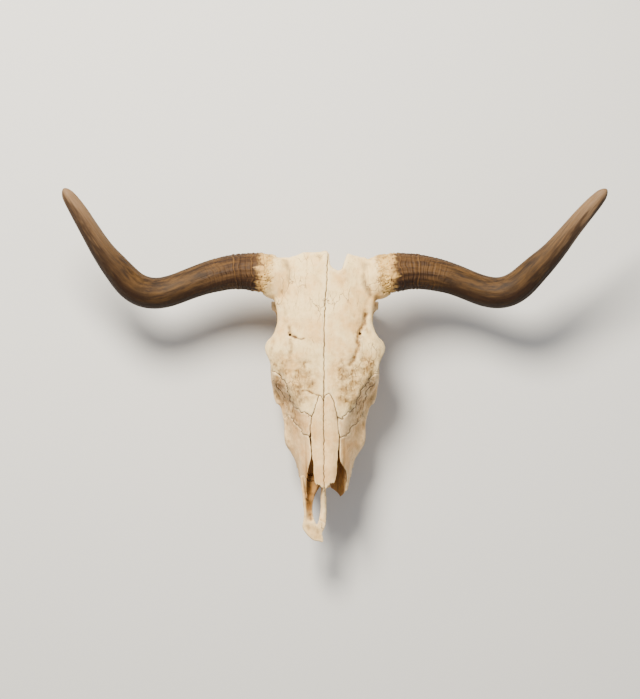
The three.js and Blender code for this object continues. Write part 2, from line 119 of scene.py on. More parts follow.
LACRIMAL_LEFT = ((10, -121), (27, -119), (31, -116), (36.5, -117), (37.5, -113), (45, -99.6), (53, -97),
                 (63, -82), (64, -64), (65.4, -58), (70.5, -40.5), (84, -29), (60, -10), (20, -10))
LACRIMAL_RIGHT = ((-10, -118), (-26, -116.5), (-32, -113.7), (-37.5, -111.7), (-39, -107), (-52.5, -92.3),
                  (-63.6, -80.5), (-64, -67), (-69, -51), (-76, -40.5), (-84, -29), (-60, -8), (-20, -8))
ZYGOMATIC = ((62, -82), (67, -88), (130, -88), (130, 54), (66, 54), (60, 20), (50, -26), (62, -40))
PREMAXILLA = ((10, -192), (-28, -192), (-38, -178), (-70, -178), (-70, -320), (10, -320))
# The same bones seen from the side, as y and z.
FRONTAL_SIDE = ((-100, 146), (-60, 140), (-30, 128), (20, 118), (60, 106), (118, 104), (160, 122), (184, 134),
                (200, 134), (200, 260), (-100, 260))
LACRIMAL_SIDE = ((-130, 128), (-80, 104), (-34, 90), (-5, 110), (-5, 200), (-130, 200))
ZYGOMATIC_SIDE = ((-92, 96), (-70, 76), (-44, 56), (-20, 50), (42, 48), (50, 74), (54, 122), (20, 122),
                  (10, 152), (-60, 152), (-92, 122))
TEMPORAL_SIDE = ((34, 40), (80, 46), (118, 40), (126, 110), (90, 104), (58, 106), (42, 90))
MAXILLA_SIDE = ((-320, -60), (-32, -60), (-32, 52), (-20, 70), (-20, 240), (-320, 240))
PREMAXILLA_SIDE = ((-320, 40), (-205, 70), (-192, 90), (-160, 200), (-320, 200))
BASE_SIDE = ((-60, -60), (70, -60), (78, 50), (70, 240), (-60, 240))


# ---------------------------------------------------------------- numbers

def track(pairs, y):
    """A cubic through (place, size) pairs; its slope at a pair is the harmonic mean of the slopes on both
    sides, or level where they turn round, so it never overshoots."""
    place, size = np.array(pairs, float).T
    slope = np.diff(size) / np.diff(place)
    before, after = np.r_[slope[:1], slope], np.r_[slope, slope[-1:]]
    total = np.where(before * after > 0, before + after, 1.0)
    tangent = np.where(before * after > 0, 2 * before * after / total, 0.0)
    y = np.asarray(y, float)
    i = np.clip(np.searchsorted(place, y, side="right") - 1, 0, len(place) - 2)
    span = place[i + 1] - place[i]
    t = np.clip((y - place[i]) / span, 0, 1)
    return (size[i] + (size[i + 1] - size[i]) * t * t * (3 - 2 * t)
            + span * t * (1 - t) * ((1 - t) * tangent[i] - t * tangent[i + 1]))


def catmull(p0, p1, p2, p3, t):
    """Centripetal Catmull-Rom from p1 to p2: knots are as far apart as the square root of the distances."""
    gap = [np.sqrt(np.linalg.norm(b[..., :3] - a[..., :3], axis=-1, keepdims=True)) + 1e-9
           for a, b in ((p0, p1), (p1, p2), (p2, p3))]
    start = ((p1 - p0) / gap[0] - (p2 - p0) / (gap[0] + gap[1]) + (p2 - p1) / gap[1]) * gap[1]
    end = ((p2 - p1) / gap[1] - (p3 - p1) / (gap[1] + gap[2]) + (p3 - p2) / gap[2]) * gap[1]
    return (p1 + start * t + (3 * (p2 - p1) - 2 * start - end) * t ** 2
            + (2 * (p1 - p2) + start + end) * t ** 3)


def path(points, count):
    """An open smooth path through points (each may carry sizes after x, y, z), sampled evenly per stretch."""
    p = np.array(points, float)
    p = np.vstack([2 * p[0] - p[1], p, 2 * p[-1] - p[-2]])
    t = np.linspace(0, len(points) - 1, count)
    i = np.minimum(t.astype(int), len(points) - 2)
    return catmull(p[i], p[i + 1], p[i + 2], p[i + 3], (t - i)[:, None])


def smooth(low, high, value):
    """0 below low, 1 above high and an S curve between them; low may be the greater one."""
    t = np.clip((value - low) / (high - low), 0, 1)
    return t * t * (3 - 2 * t)


def bell(*pairs):
    """A bell curve: e to the power of minus the sum of the squares of each value over its width."""
    return np.exp(-sum((value / width) ** 2 for value, width in pairs))


def lattice(cell, seed):
    """A repeatable number from 0 to 1 for each whole-numbered cell."""
    n = (cell[..., 0] * 73856093) ^ (cell[..., 1] * 19349663) ^ (cell[..., 2] * 83492791) ^ (seed * 2654435)
    n = (n ^ (n >> 13)) * 1274126177
    return ((n ^ (n >> 16)) & 0xFFFFFF) / float(0x1000000)


def noise(points, size, seed):
    """Smooth noise from -1 to 1: random numbers on a lattice of the given size, blended along each axis."""
    q = np.asarray(points, float) / size
    base = np.floor(q).astype(np.int64)
    f = q - base
    f = f * f * f * (f * (f * 6 - 15) + 10)
    total = np.zeros(len(q))
    for corner in np.ndindex(2, 2, 2):
        weight = np.prod(np.where(np.array(corner) == 1, f, 1 - f), axis=1)
        total += weight * lattice(base + np.array(corner), seed)
    return total * 2 - 1


def cells(points, size, seed):
    """Distance, in cells, to the nearest of one random point per lattice cell."""
    q = np.asarray(points, float) / size
    base = np.floor(q).astype(np.int64)
    best = np.full(len(q), 9.0)
    for step in np.ndindex(3, 3, 3):
        cell = base + np.array(step) - 1
        spot = cell + np.stack([lattice(cell, seed + k) for k in range(3)], axis=1)
        best = np.minimum(best, np.linalg.norm(q - spot, axis=1))
    return best


def wavy(line, amplitude, seed, step=1.5):
    """A line cut into short steps and moved sideways by two sizes of noise, as a grown suture wanders."""
    line = np.array(line, float)
    pieces = []
    for a, b in zip(line[:-1], line[1:]):
        count = max(1, int(np.hypot(*(b - a)) / step))
        pieces.append(a + (b - a) * (np.arange(count) / count)[:, None])
    points = np.vstack([*pieces, line[-1:]])
    flat = np.c_[points, np.zeros(len(points))]
    shift = np.stack([0.6 * noise(flat, 5.0, seed + k) + 0.4 * noise(flat, 2.2, seed + 7 + k)
                      for k in (0, 1)], 1)
    inner = np.r_[0, np.ones(len(points) - 2), 0][:, None]
    return points + amplitude * shift * inner


# ---------------------------------------------------------------- meshes

def mesh_object(name, points, faces):
    """An object in the scene from vertices and faces, with its faces turned outwards."""
    mesh = bpy.data.meshes.new(name)
    mesh.from_pydata(np.asarray(points, float).tolist(), [], [list(map(int, f)) for f in faces])
    mesh.update()
    piece = bpy.data.objects.new(name, mesh)
    bpy.context.scene.collection.objects.link(piece)
    if volume(piece) < 0:
        mesh.flip_normals()
    return piece


def arrays(piece):
    """The piece's vertices and its triangles' corners as arrays."""
    mesh = piece.data
    points = np.empty(len(mesh.vertices) * 3)
    mesh.vertices.foreach_get("co", points)
    mesh.calc_loop_triangles()
    corners = np.empty(len(mesh.loop_triangles) * 3, np.int64)
    mesh.loop_triangles.foreach_get("vertices", corners)
    return points.reshape(-1, 3), corners.reshape(-1, 3)


def volume(piece):
    """The signed volume: a sixth of the sum of the triple products of each triangle's corners."""
    points, corners = arrays(piece)
    a, b, c = (points[corners[:, k]] for k in range(3))
    return float(np.einsum("ij,ij->i", a, np.cross(b, c)).sum() / 6)


def grid_faces(rows, columns, wrap_rows=False):
    """Quads of a grid that closes on itself across its columns, and along its rows too if asked."""
    r = np.arange(rows if wrap_rows else rows - 1)[:, None]
    c = np.arange(columns)[None, :]
    a, b = r * columns + c, r * columns + (c + 1) % columns
    up = ((r + 1) % rows) * columns
    return np.stack([a, b, up + (c + 1) % columns, up + c], axis=-1).reshape(-1, 4)


def tube_object(name, rings):
    """A closed skin over rings (rows x columns x 3), with a fan of triangles to the middle of each end."""
    rows, columns = rings.shape[:2]
    points = np.vstack([rings.reshape(-1, 3), rings[0].mean(0), rings[-1].mean(0)])
    c = np.arange(columns)
    first = np.stack([(c + 1) % columns, c, np.full(columns, rows * columns)], 1)
    last_row = (rows - 1) * columns
    last = np.stack([last_row + c, last_row + (c + 1) % columns, np.full(columns, rows * columns + 1)], 1)
    faces = [*grid_faces(rows, columns).tolist(), *first.tolist(), *last.tolist()]
    return mesh_object(name, points, faces)


def bar(stations, side=1, rows=60, columns=32, spare=0.0):
    """A bar along stations (x, y, z, half width, half height); each section is an ellipse across the path
    whose first axis is level, or lies in plan where the path goes upright."""
    full = [(side * s[0], s[1], s[2], s[3], s[4] if len(s) > 4 else s[3]) for s in stations]
    line = path(full, rows)
    centre, size = line[:, :3], line[:, 3:] + spare
    ahead = np.gradient(centre, axis=0)
    ahead /= np.linalg.norm(ahead, axis=1, keepdims=True)
    up = np.where(np.abs(ahead[:, 2:]) > 0.8, (0.0, 1.0, 0.0), (0.0, 0.0, 1.0))
    level = np.cross(up, ahead)
    level /= np.linalg.norm(level, axis=1, keepdims=True)
    rise = np.cross(ahead, level)
    turn = np.linspace(0, 2 * np.pi, columns, endpoint=False)
    rings = (centre[:, None] + level[:, None] * (size[:, :1] * np.cos(turn))[..., None]
             + rise[:, None] * (size[:, 1:] * np.sin(turn))[..., None])
    return tube_object("bar", rings)


def ellipsoid(centre, radii, rows=24, columns=36):
    """A ball stretched to three radii; its rings run from pole to pole."""
    tilt = np.linspace(0.02, np.pi - 0.02, rows)[:, None]
    turn = np.linspace(0, 2 * np.pi, columns, endpoint=False)[None, :]
    unit = np.stack([np.sin(tilt) * np.cos(turn), np.sin(tilt) * np.sin(turn), np.cos(tilt) + 0 * turn], -1)
    return tube_object("ball", unit * np.array(radii, float) + np.array(centre, float))


def prism(outline, low, high, axis="z"):
    """An outline carried straight up from low to high, or across from low to high where axis is x."""
    flat = np.array(outline, float)
    count = len(flat)
    ends = [np.c_[flat, np.full(count, level)] for level in (low, high)]
    points = np.vstack(ends)
    if axis == "x":
        points = points[:, [2, 0, 1]]
    c = np.arange(count)
    walls = np.stack([c, (c + 1) % count, count + (c + 1) % count, count + c], 1).tolist()
    return mesh_object("prism", points, [*walls, list(range(count))[::-1], list(range(count, 2 * count))])


def inset(outline, distance):
    """The outline moved inwards by a distance along the mean of the normals at each corner."""
    p = np.array(outline, float)
    before, after = p - np.roll(p, 1, 0), np.roll(p, -1, 0) - p
    turn = np.sign(np.sum(p[:, 0] * np.roll(p[:, 1], -1) - p[:, 1] * np.roll(p[:, 0], -1)))
    normals = [np.c_[-e[:, 1], e[:, 0]] / np.hypot(e[:, 0], e[:, 1])[:, None] * turn for e in (before, after)]
    mean = normals[0] + normals[1]
    return p + mean * distance / np.maximum(0.4, (mean ** 2).sum(1) / 2)[:, None]


def bake_modifiers(piece):
    """Puts what the modifiers make into the piece's own mesh."""
    made = bpy.data.meshes.new_from_object(piece.evaluated_get(bpy.context.evaluated_depsgraph_get()))
    old = piece.data
    piece.modifiers.clear()
    piece.data = made
    bpy.data.meshes.remove(old)
    return piece


def remove(*pieces):
    """Deletes pieces together with their meshes."""
    for piece in pieces:
        mesh = piece.data
        bpy.data.objects.remove(piece)
        bpy.data.meshes.remove(mesh)


def combine(piece, other, how):
    """Joins, cuts or crosses the piece with another solid, which is then thrown away."""
    modifier = piece.modifiers.new(how, "BOOLEAN")
    modifier.operation = how
    modifier.solver = "MANIFOLD"
    modifier.object = other
    bake_modifiers(piece)
    remove(other)
    return piece


def duplicate(piece, name):
    """A second piece with a mesh of its own."""
    twin = bpy.data.objects.new(name, piece.data.copy())
    bpy.context.scene.collection.objects.link(twin)
    return twin


def revoxel(piece, size=VOXEL):
    """A new even skin of small quads round the same solid."""
    modifier = piece.modifiers.new("skin", "REMESH")
    modifier.mode = "VOXEL"
    modifier.voxel_size = size
    return bake_modifiers(piece)


def edge_pairs(piece):
    """The two vertices of each edge."""
    pairs = np.empty(len(piece.data.edges) * 2, np.int64)
    piece.data.edges.foreach_get("vertices", pairs)
    return pairs.reshape(-1, 2)


def averaged(values, pairs, count):
    """Each vertex's mean over its neighbours along edges."""
    out = np.zeros_like(values)
    near = np.bincount(pairs.ravel(), minlength=count).astype(float)
    for k in range(values.shape[1]):
        out[:, k] = (np.bincount(pairs[:, 0], values[pairs[:, 1], k], count)
                     + np.bincount(pairs[:, 1], values[pairs[:, 0], k], count))
    return out / np.maximum(near, 1)[:, None]


def relax(piece, rounds, where=None):
    """Evens the surface: steps towards the neighbours' mean, each followed by a step back that keeps the
    bulk. It works only where the given function of the points is above 0."""
    points, _ = arrays(piece)
    pairs = edge_pairs(piece)
    weight = 1.0 if where is None else where(points)[:, None]
    for _ in range(rounds):
        for step in (0.5, -0.52):
            points = points + step * weight * (averaged(points, pairs, len(points)) - points)
    set_points(piece, points)


def set_points(piece, points):
    """Moves the piece's vertices to the points."""
    piece.data.vertices.foreach_set("co", np.ascontiguousarray(points, np.float32).ravel())
    piece.data.update()


def normals_of(piece):
    """Vertex normals as the mean of the normals of the triangles round each vertex, by area."""
    points, corners = arrays(piece)
    a, b, c = (points[corners[:, k]] for k in range(3))
    face = np.cross(b - a, c - a)
    total = np.zeros_like(points)
    for k in range(3):
        for axis in range(3):
            total[:, axis] += np.bincount(corners[:, k], face[:, axis], len(points))
    return total / np.maximum(np.linalg.norm(total, axis=1, keepdims=True), 1e-12)


def give(piece, name, values):
    """Stores one number per vertex, which the piece's material reads."""
    attribute = piece.data.attributes.new(name, "FLOAT", "POINT")
    attribute.data.foreach_set("value", np.ascontiguousarray(values, np.float32))


# ---------------------------------------------------------------- the skull as one form

def body():
    """Closed loops across the skull, through crown, brow, edge, waist, flank, sill and keel on both sides.
    Their widths and heights are functions of the place along it."""
    y = np.linspace(MUZZLE_END, POLL_END, 300)
    half = [
        (0 * y, track(CROWN_Z, y)),
        (0.55 * track(EDGE_X, y), track(CROWN_Z, y) - 0.22 * (track(CROWN_Z, y) - track(EDGE_Z, y))),
        (track(EDGE_X, y), track(EDGE_Z, y)),
        (track(WAIST_X, y), track(WAIST_Z, y)),
        (track(FLANK_X, y), track(FLANK_Z, y)),
        (track(SILL_X, y), track(SILL_Z, y)),
        (0 * y, track(KEEL_Z, y)),
    ]
    loop = half + [(-x, z) for x, z in half[-2:0:-1]]
    corners = np.stack([np.stack([x, y, z], -1) for x, z in loop], axis=1)
    steps = np.linspace(0, 1, 16, endpoint=False)[None, None, :, None]
    spots = [np.roll(corners, shift, axis=1)[:, :, None] for shift in (1, 0, -1, -2)]
    rings = catmull(*spots, steps)
    return tube_object("skull", rings.reshape(len(y), -1, 3))


def orbit_rim(side):
    """A closed ring round the eye socket that leans out in a bell curve about its upper rear."""
    turn = np.linspace(0, 2 * np.pi, 72, endpoint=False)[:, None]
    round_tube = np.linspace(0, 2 * np.pi, 24, endpoint=False)[None, :]
    out = ORBIT_OUT + ORBIT_FLARE * bell((np.mod(turn + 2, 2 * np.pi) - 2 - ORBIT_FLARE_TURN, 0.6))
    reach = ORBIT_RIM * np.cos(round_tube)
    x = side * (out + 0.9 * ORBIT_RIM * np.sin(round_tube))
    y = ORBIT_Y + (ORBIT_HALF_LENGTH + reach) * np.cos(turn)
    z = ORBIT_Z + (ORBIT_HALF_HEIGHT + reach) * np.sin(turn)
    points = np.stack([x, y, z], -1).reshape(-1, 3)
    return mesh_object("rim", points, grid_faces(72, 24, wrap_rows=True).tolist())


def horn_foot(side):
    """The bone that reaches out under a horn; its end is cut when the bones are parted."""
    x, y, z, radius = (HORN_LEFT if side > 0 else HORN_RIGHT)[0]
    near = abs(x)
    stations = [(near - 52, y - 6, z - 4, 26, 15), (near - 26, y - 8, z + 1, 36, radius - 5),
                (near - 10, y - 3, z, radius + 2, radius), (near + 8, y, z, radius + 0.8, radius)]
    return bar(stations, side, 40, 64)


def masses(side):
    """What stands out from the skull's body on one side."""
    arch = [(72, -62, 76, 8, 13), (80, -32, 77, 9, 15), (84, -4, 78, 7, 12), (82, 22, 74, 6, 10),
            (76, 46, 66, 5.5, 8), (75, 72, 61, 5.5, 8), (75, 98, 60, 9, 10)]
    wing = [(-62, 42), (-40, 30), (-24, 11), (-16, 10), (-6, 34), (20, 52), (34, 66), (20, 74), (-62, 66)]
    return [
        orbit_rim(side),
        bar(arch, side),
        prism(wing, min(side * 16, side * 22), max(side * 16, side * 22), "x"),
        horn_foot(side),
        ellipsoid((side * 23, 127, 21), (18, 22, 23)),
        ellipsoid((side * 36, 84, 42), (11, 15, 17)),
        bar([(62, 108, 62, 12), (57, 101, 40, 9), (52, 94, 18, 7), (49, 90, 4, 4)], side),
    ]


# The nasal hollow's right and left margins and its floor, as (place along y, size) pairs.
CAVITY_RIGHT = ((-252, 25), (-242, 26.6), (-222, 28.6), (-206, 30.7), (-189, 30), (-172, 27.9), (-164, 25.9),
                (-148, 22.8), (-116, 25.6), (-110, 24))
CAVITY_LEFT = ((-252, 36), (-206, 36), (-189, 36.5), (-176, 35.4), (-168, 30.5), (-159, 25.9), (-148, 24.3),
               (-116, 24.6), (-110, 23))
CAVITY_FLOOR = ((-252, 106), (-205, 105), (-150, 106), (-125, 112), (-110, 124))


def nasal_cavity():
    """The hollow under the nasal bones, open above beside them and blind at its rear end. Its right and left
    margins are two functions of the place along it."""
    y = np.linspace(-252, -110, 80)
    right, left, bottom = (track(pairs, y) for pairs in (CAVITY_RIGHT, CAVITY_LEFT, CAVITY_FLOOR))
    top = np.full(len(y), 230.0)        # well above the nasal bones
    corners = [(-0.5 * right, bottom - 3), (0.5 * left, bottom - 3), (0.86 * left, bottom),
               (left, bottom + 7), (left, top), (-right, top), (-right, bottom + 7), (-0.86 * right, bottom)]
    rings = np.stack([np.stack([x, y, z], -1) for x, z in corners], axis=1)
    return tube_object("cavity", rings)


# The premaxilla's plate in plan (as if on the left) and from the side, and the slit inside it in plan.
PREMAXILLA_PLATE = ((39.5, -184), (39, -197), (37.1, -216), (35.4, -238), (34.4, -253), (37.3, -264),
                    (36.4, -270), (33.5, -277), (26.6, -286), (17.1, -292), (8, -293.5), (3.8, -295),
                    (2.0, -289), (5.4, -279.6), (1.2, -272), (-0.5, -264), (10, -256), (20, -230), (10, -184))
PREMAXILLA_HEIGHT = ((-184, 124), (-216, 120), (-240, 116), (-262, 115), (-280, 113.5), (-298, 109),
                     (-298, 106), (-280, 104), (-262, 103), (-240, 99), (-216, 95), (-184, 88))
FISSURE = ((6.4, -201), (13.3, -209.5), (18, -220), (20.9, -235.3), (20.2, -248.7), (17.5, -259),
           (13.7, -265.5), (11, -261), (9.5, -254), (8, -235), (7, -215))
PREMAXILLA_VOXEL = 1.0


def rounded(outline, steps=8):
    """A closed Catmull-Rom curve through the corners of an outline."""
    p = np.array(outline, float)
    t = np.linspace(0, 1, steps, endpoint=False)[None, :, None]
    return catmull(*[np.roll(p, shift, axis=0)[:, None] for shift in (1, 0, -1, -2)], t).reshape(-1, 2)


def premaxilla():
    """The right premaxilla: a plate along the muzzle that flares in front, and a thin bar beside the
    midline."""
    plate = prism(mirrored(rounded(PREMAXILLA_PLATE), -1), 60, 140)
    combine(plate, prism(PREMAXILLA_HEIGHT, -60, 10, "x"), "INTERSECT")
    stations = [(2.6, -196, 97, 4.5, 5), (2.8, -230, 102, 5, 4), (4, -256, 106, 5.5, 4.5),
                (7, -272, 108, 6, 4)]
    whole = combine(plate, bar(stations, -1), "UNION")
    revoxel(whole, PREMAXILLA_VOXEL)
    relax(whole, 6)
    points, _ = arrays(whole)
    normals = normals_of(whole)
    up, below = smooth(0.2, 0.7, normals[:, 2]), smooth(-0.2, -0.7, normals[:, 2])
    trough = near_line(points, [(-30, -180), (-28.5, -200), (-27, -220), (-25.5, -240), (-23, -255)], 12)
    dish = near_line(points, [(-24, -272), (-10, -281)], 14)
    ridge = near_line(points, [(-38, -184), (-34.5, -222), (-32, -250)])
    shift = 1.4 * up * bell((ridge, 3.2))
    shift -= 5.0 * up * bell((trough, 4.2)) + 1.6 * (up + below) * bell((dish, 7))
    shift += 0.9 * noise(points, 9, 301) + 0.45 * noise(points, 4, 302)
    set_points(whole, points + shift[:, None] * normals)
    return whole


FILLET = 5.0                # swelling and shrinking by this leaves a fillet in every inner corner
FILLET_VOXEL = 1.6


def whole_skull():
    """The skull in one skin: body and masses joined and filleted, then the corners of the poll, its notch and
    the brain's way cut out."""
    whole = body()
    for side in (1, -1):
        for mass in masses(side):
            combine(whole, mass, "UNION")
    for spread in (FILLET, -FILLET):
        revoxel(whole, FILLET_VOXEL)
        points, _ = arrays(whole)
        set_points(whole, points + spread * normals_of(whole))
    saddle = [(37, 188.6), (48, 184), (58, 181.5), (82, 181), (82, 260), (37, 260)]
    notch = [(6.6, 195), (6.6, 174), (8, 167), (13, 163), (21.6, 158), (29, 161.5), (32, 170), (35, 180),
             (38, 189), (38, 195)]
    brain_way = bar([(0, 168, 54, 22), (0, 140, 50, 18), (0, 104, 62, 15)], 1)
    for cutter in (prism(notch, *CUT), brain_way,
                   *(prism([(side * x, y) for x, y in saddle], *CUT) for side in (1, -1))):
        combine(whole, cutter, "DIFFERENCE")
    revoxel(whole)
    relax(whole, 8)
    return whole


# ---------------------------------------------------------------- relief

SUTURES = [wavy(MIDLINE, 1.2, 11), wavy(NASAL_EDGE_LEFT, 0.9, 21), wavy(NASAL_EDGE_RIGHT, 0.9, 31),
           wavy(FRONTAL_EDGE_LEFT, 4.4, 41), wavy(FRONTAL_EDGE_RIGHT, 4.4, 51), wavy(LACRIMAL_LEFT, 3.2, 61),
           wavy(LACRIMAL_RIGHT, 3.2, 71)]
MID, NASAL_L, NASAL_R, FRONTAL_L, FRONTAL_R, LACRIMAL_L, LACRIMAL_R = SUTURES
GROOVES = [
    # line in plan, half width, depth
    (((69.1, 84), (64, 68), (57.9, 54.8), (54.3, 40.8), (57, 33.7), (49.8, 12.9), (42.3, 1.7)), 3.6, 2.6),
    (((-60, 64), (-58.4, 52.6), (-50, 48)), 3.2, 2.0),
    (((-58.4, 52.6), (-57.5, 42), (-56, 29), (-60, 14)), 3.6, 1.2),
    (((-50, 49), (-44, 46), (-38, 44.8), (-33, 46)), 1.0, 1.0),
    (((-39, -41.5), (-31.5, -40.7), (-24, -44), (-14, -47.8), (-9.5, -48)), 0.9, 0.9),
]
HOLES = [
    # x, y, z, radius and the way in
    ((57.9, 54.8, 166), 2.6, (0.1, -0.4, -1)), ((-58.4, 52.6, 166), 2.4, (0.1, -0.4, -1)),
    ((-57.0, 42.5, 166), 1.1, (0, 0, -1)), ((-71.7, 41.8, 160), 1.3, (0.2, 0, -1)),
    ((-57.0, 29.2, 166), 1.0, (0, 0, -1)), ((9.1, 51.5, 180), 0.8, (0, 0, -1)),
    ((59.4, 33.7, 166), 1.5, (0.2, -0.3, -1)), ((49.8, 12.9, 172), 1.1, (0, 0, -1)),
    ((62, -157, 104), 4.2, (-1, -0.5, -0.1)), ((-62, -157, 104), 4.2, (1, -0.5, -0.1)),
    ((22.5, -88, 170), 1.4, (-0.2, 0, -1)),
]


def near_line(points, line, reach=9.0):
    """Distance in plan to an open line, but no more than the reach."""
    line = np.array(line, float)
    best = np.full(len(points), reach)
    for i in range(0, len(line) - 1, 6):
        part = line[i:i + 7]
        inside = (points[:, :2] > part.min(0) - reach) & (points[:, :2] < part.max(0) + reach)
        pick = np.flatnonzero(inside.all(1))
        for a, b in zip(part[:-1], part[1:]):
            along = b - a
            t = np.clip(((points[pick, :2] - a) @ along) / (along @ along), 0, 1)
            off = points[pick, :2] - a - t[:, None] * along
            best[pick] = np.minimum(best[pick], np.hypot(off[:, 0], off[:, 1]))
    return best


# Only these stretches of the outlines show as sutures; the rest of them closes a shape.
CRACKS = [wavy(((-56, 51), (-50, 49), (-44, 46), (-38, 44.8), (-35, 46)), 1.2, 131),
          wavy(((-39, -41.5), (-31.5, -40.7), (-24, -44), (-14, -47.8), (-9.5, -48)), 1.0, 141)]
SHOWN = [MID, *CRACKS, *(line[line[:, 1] > -118] for line in (NASAL_L, NASAL_R)),
         *(line[(np.abs(line[:, 0]) > 22) & (np.abs(line[:, 0]) < 78)] for line in (FRONTAL_L, FRONTAL_R)),
         *(line[(np.abs(line[:, 0]) > 24.5) & (line[:, 1] < -30)] for line in (LACRIMAL_L, LACRIMAL_R))]


def seam_distance(points):
    """Distance in plan to the nearest suture of the skull's upper side."""
    best = np.full(len(points), 9.0)
    for line in SHOWN:
        best = np.minimum(best, near_line(points, line))
    return np.where(points[:, 2] > 112, best, 9.0)


def burr_amount(points):
    """1 on the rough burr that carries a horn and 0 a little further in."""
    across, along = np.abs(points[:, 0]), points[:, 1]
    slanted = across + 0.3 * (along - 150) + 5 * noise(points, 8, 86)
    amount = smooth(78, 98, slanted) * smooth(76, 94, across + 4 * noise(points, 6, 87))
    return amount * smooth(112, 126, along)


def relief(piece):
    """Moves the skin along its normals by the sum of the skull's low forms: forehead, crests, grooves and
    burrs."""
    points, _ = arrays(piece)
    normals = normals_of(piece)
    x, y, z = points.T
    out = np.abs(x)
    top = smooth(0.1, 0.6, normals[:, 2]) * smooth(118, 135, z)
    side = smooth(0.3, 0.7, np.abs(normals[:, 0]))
    rear = smooth(0.3, 0.7, normals[:, 1]) * smooth(120, 140, y)
    shift = 0.9 * noise(points, 34, 1) + 0.45 * noise(points, 13, 2) + 0.16 * noise(points, 5, 3)
    # the forehead is hollowed a little between the orbits and rises towards the poll
    shift -= top * 2.6 * bell((y - 6, 46), (x, 34))
    shift += top * 1.6 * bell((y - 96, 40), (out - 26, 20))
    shift -= top * 1.5 * bell((out - 50, 12), (y - 30, 50))
    # the temporal crest along the edge, and the rim over the orbit
    edge = track(EDGE_X, y)
    shift += top * 1.5 * bell((out - edge + 5, 4.5)) * smooth(36, 60, y) * (1 - smooth(120, 140, y))
    shift += top * 1.2 * bell((out - 84, 7), (y - 22, 26))
    # the face: a hollow before the orbit, the crest and the bump of the cheek
    shift -= side * 2.2 * bell((y + 66, 26), (z - 138, 16))
    crest = 92 - 0.18 * (y + 110)
    shift += side * 3.0 * bell((z - crest, 6)) * smooth(-150, -120, y) * (1 - smooth(-60, -30, y))
    shift += side * 2.5 * bell((y + 118, 13), (z - 86, 10))
    shift -= side * 1.6 * bell((y + 150, 18), (z - 112, 12))
    # the nasal bones arch across and sink along their joint
    along_nose = top * (1 - smooth(-70, -50, y))
    shift += along_nose * (1.4 * bell((out - 11, 7)) - 1.3 * bell((x, 3.2)))
    # the nape: a crest on the midline and rough hollows on both sides of it
    shift += rear * (2.2 * bell((x, 4)) - 2.5 * bell((out - 24, 14), (z - 118, 20)))
    shift += rear * 0.8 * noise(points, 6, 5)
    # the midline stands in a shallow valley
    shift -= top * 0.5 * bell((near_line(points, MID), 2.4))
    for line, width, depth in GROOVES:
        shift -= top * depth * bell((near_line(points, line), width))
    seam = seam_distance(points)
    shift -= 0.55 * bell((seam, 1.0)) - 0.22 * bell((seam - 2.6, 1.3))
    burr = burr_amount(points)
    knobs = cells(points, 8.0, 61)
    shift += burr * (1.6 - 2.6 * knobs + 0.6 * noise(points, 3.4, 62))
    set_points(piece, points + shift[:, None] * normals)


def drill():
    """Short rods for the small openings of nerves and vessels."""
    rods = []
    for centre, radius, way in HOLES:
        centre, way = np.array(centre, float), np.array(way, float)
        way /= np.linalg.norm(way)
        ends = centre - way * 14, centre + way * 9
        stations = [(*(ends[0] + (ends[1] - ends[0]) * t), radius, radius) for t in (0, 0.5, 1)]
        rods.append(bar(stations, 1, 6, 20))
    return rods


# ---------------------------------------------------------------- parting the bones

def islands(piece):
    """A number for each vertex that is the same for all vertices joined by edges."""
    pairs = edge_pairs(piece)
    label = np.arange(len(piece.data.vertices))
    while True:
        low = np.minimum(label[pairs[:, 0]], label[pairs[:, 1]])
        new = label.copy()
        np.minimum.at(new, pairs[:, 0], low)
        np.minimum.at(new, pairs[:, 1], low)
        new = new[new]
        if np.array_equal(new, label):
            return label
        label = new


def drop_slivers(piece, least=500):
    """Drops the slivers that a cut leaves: islands of fewer vertices than the least, unless nothing is
    larger."""
    label = islands(piece)
    names, counts = np.unique(label, return_counts=True)
    wanted = names[counts >= min(least, counts.max())]
    if len(wanted) == len(names):
        return piece
    keep = np.isin(label, wanted)
    points, corners = arrays(piece)
    number = np.cumsum(keep) - 1
    faces = number[corners[keep[corners[:, 0]]]]
    remove(piece)
    return mesh_object("bone", points[keep], faces)


def take(rest, name, plan, profile, annex=None):
    """Parts a bone from the rest: what lies inside its outline in plan and its profile from the side, and
    what lies above and below a second outline."""
    bone = duplicate(rest, name)
    for target, gap, how in ((bone, SUTURE, "INTERSECT"), (rest, 0.0, "DIFFERENCE")):
        region = prism(inset(plan, gap), *REACH)
        combine(region, prism(inset(profile, gap), -200, 200, "x"), "INTERSECT")
        if annex is not None:
            combine(region, prism(inset(annex, gap), *REACH), "UNION")
        combine(target, region, how)
    return bone


def mirrored(plan, side):
    """An outline as it is where side is 1, and turned over to the other side where it is -1."""
    return [(side * x, y) for x, y in plan]


MUZZLE_VOXEL = 1.2          # the skin is made anew once the premaxilla is joined


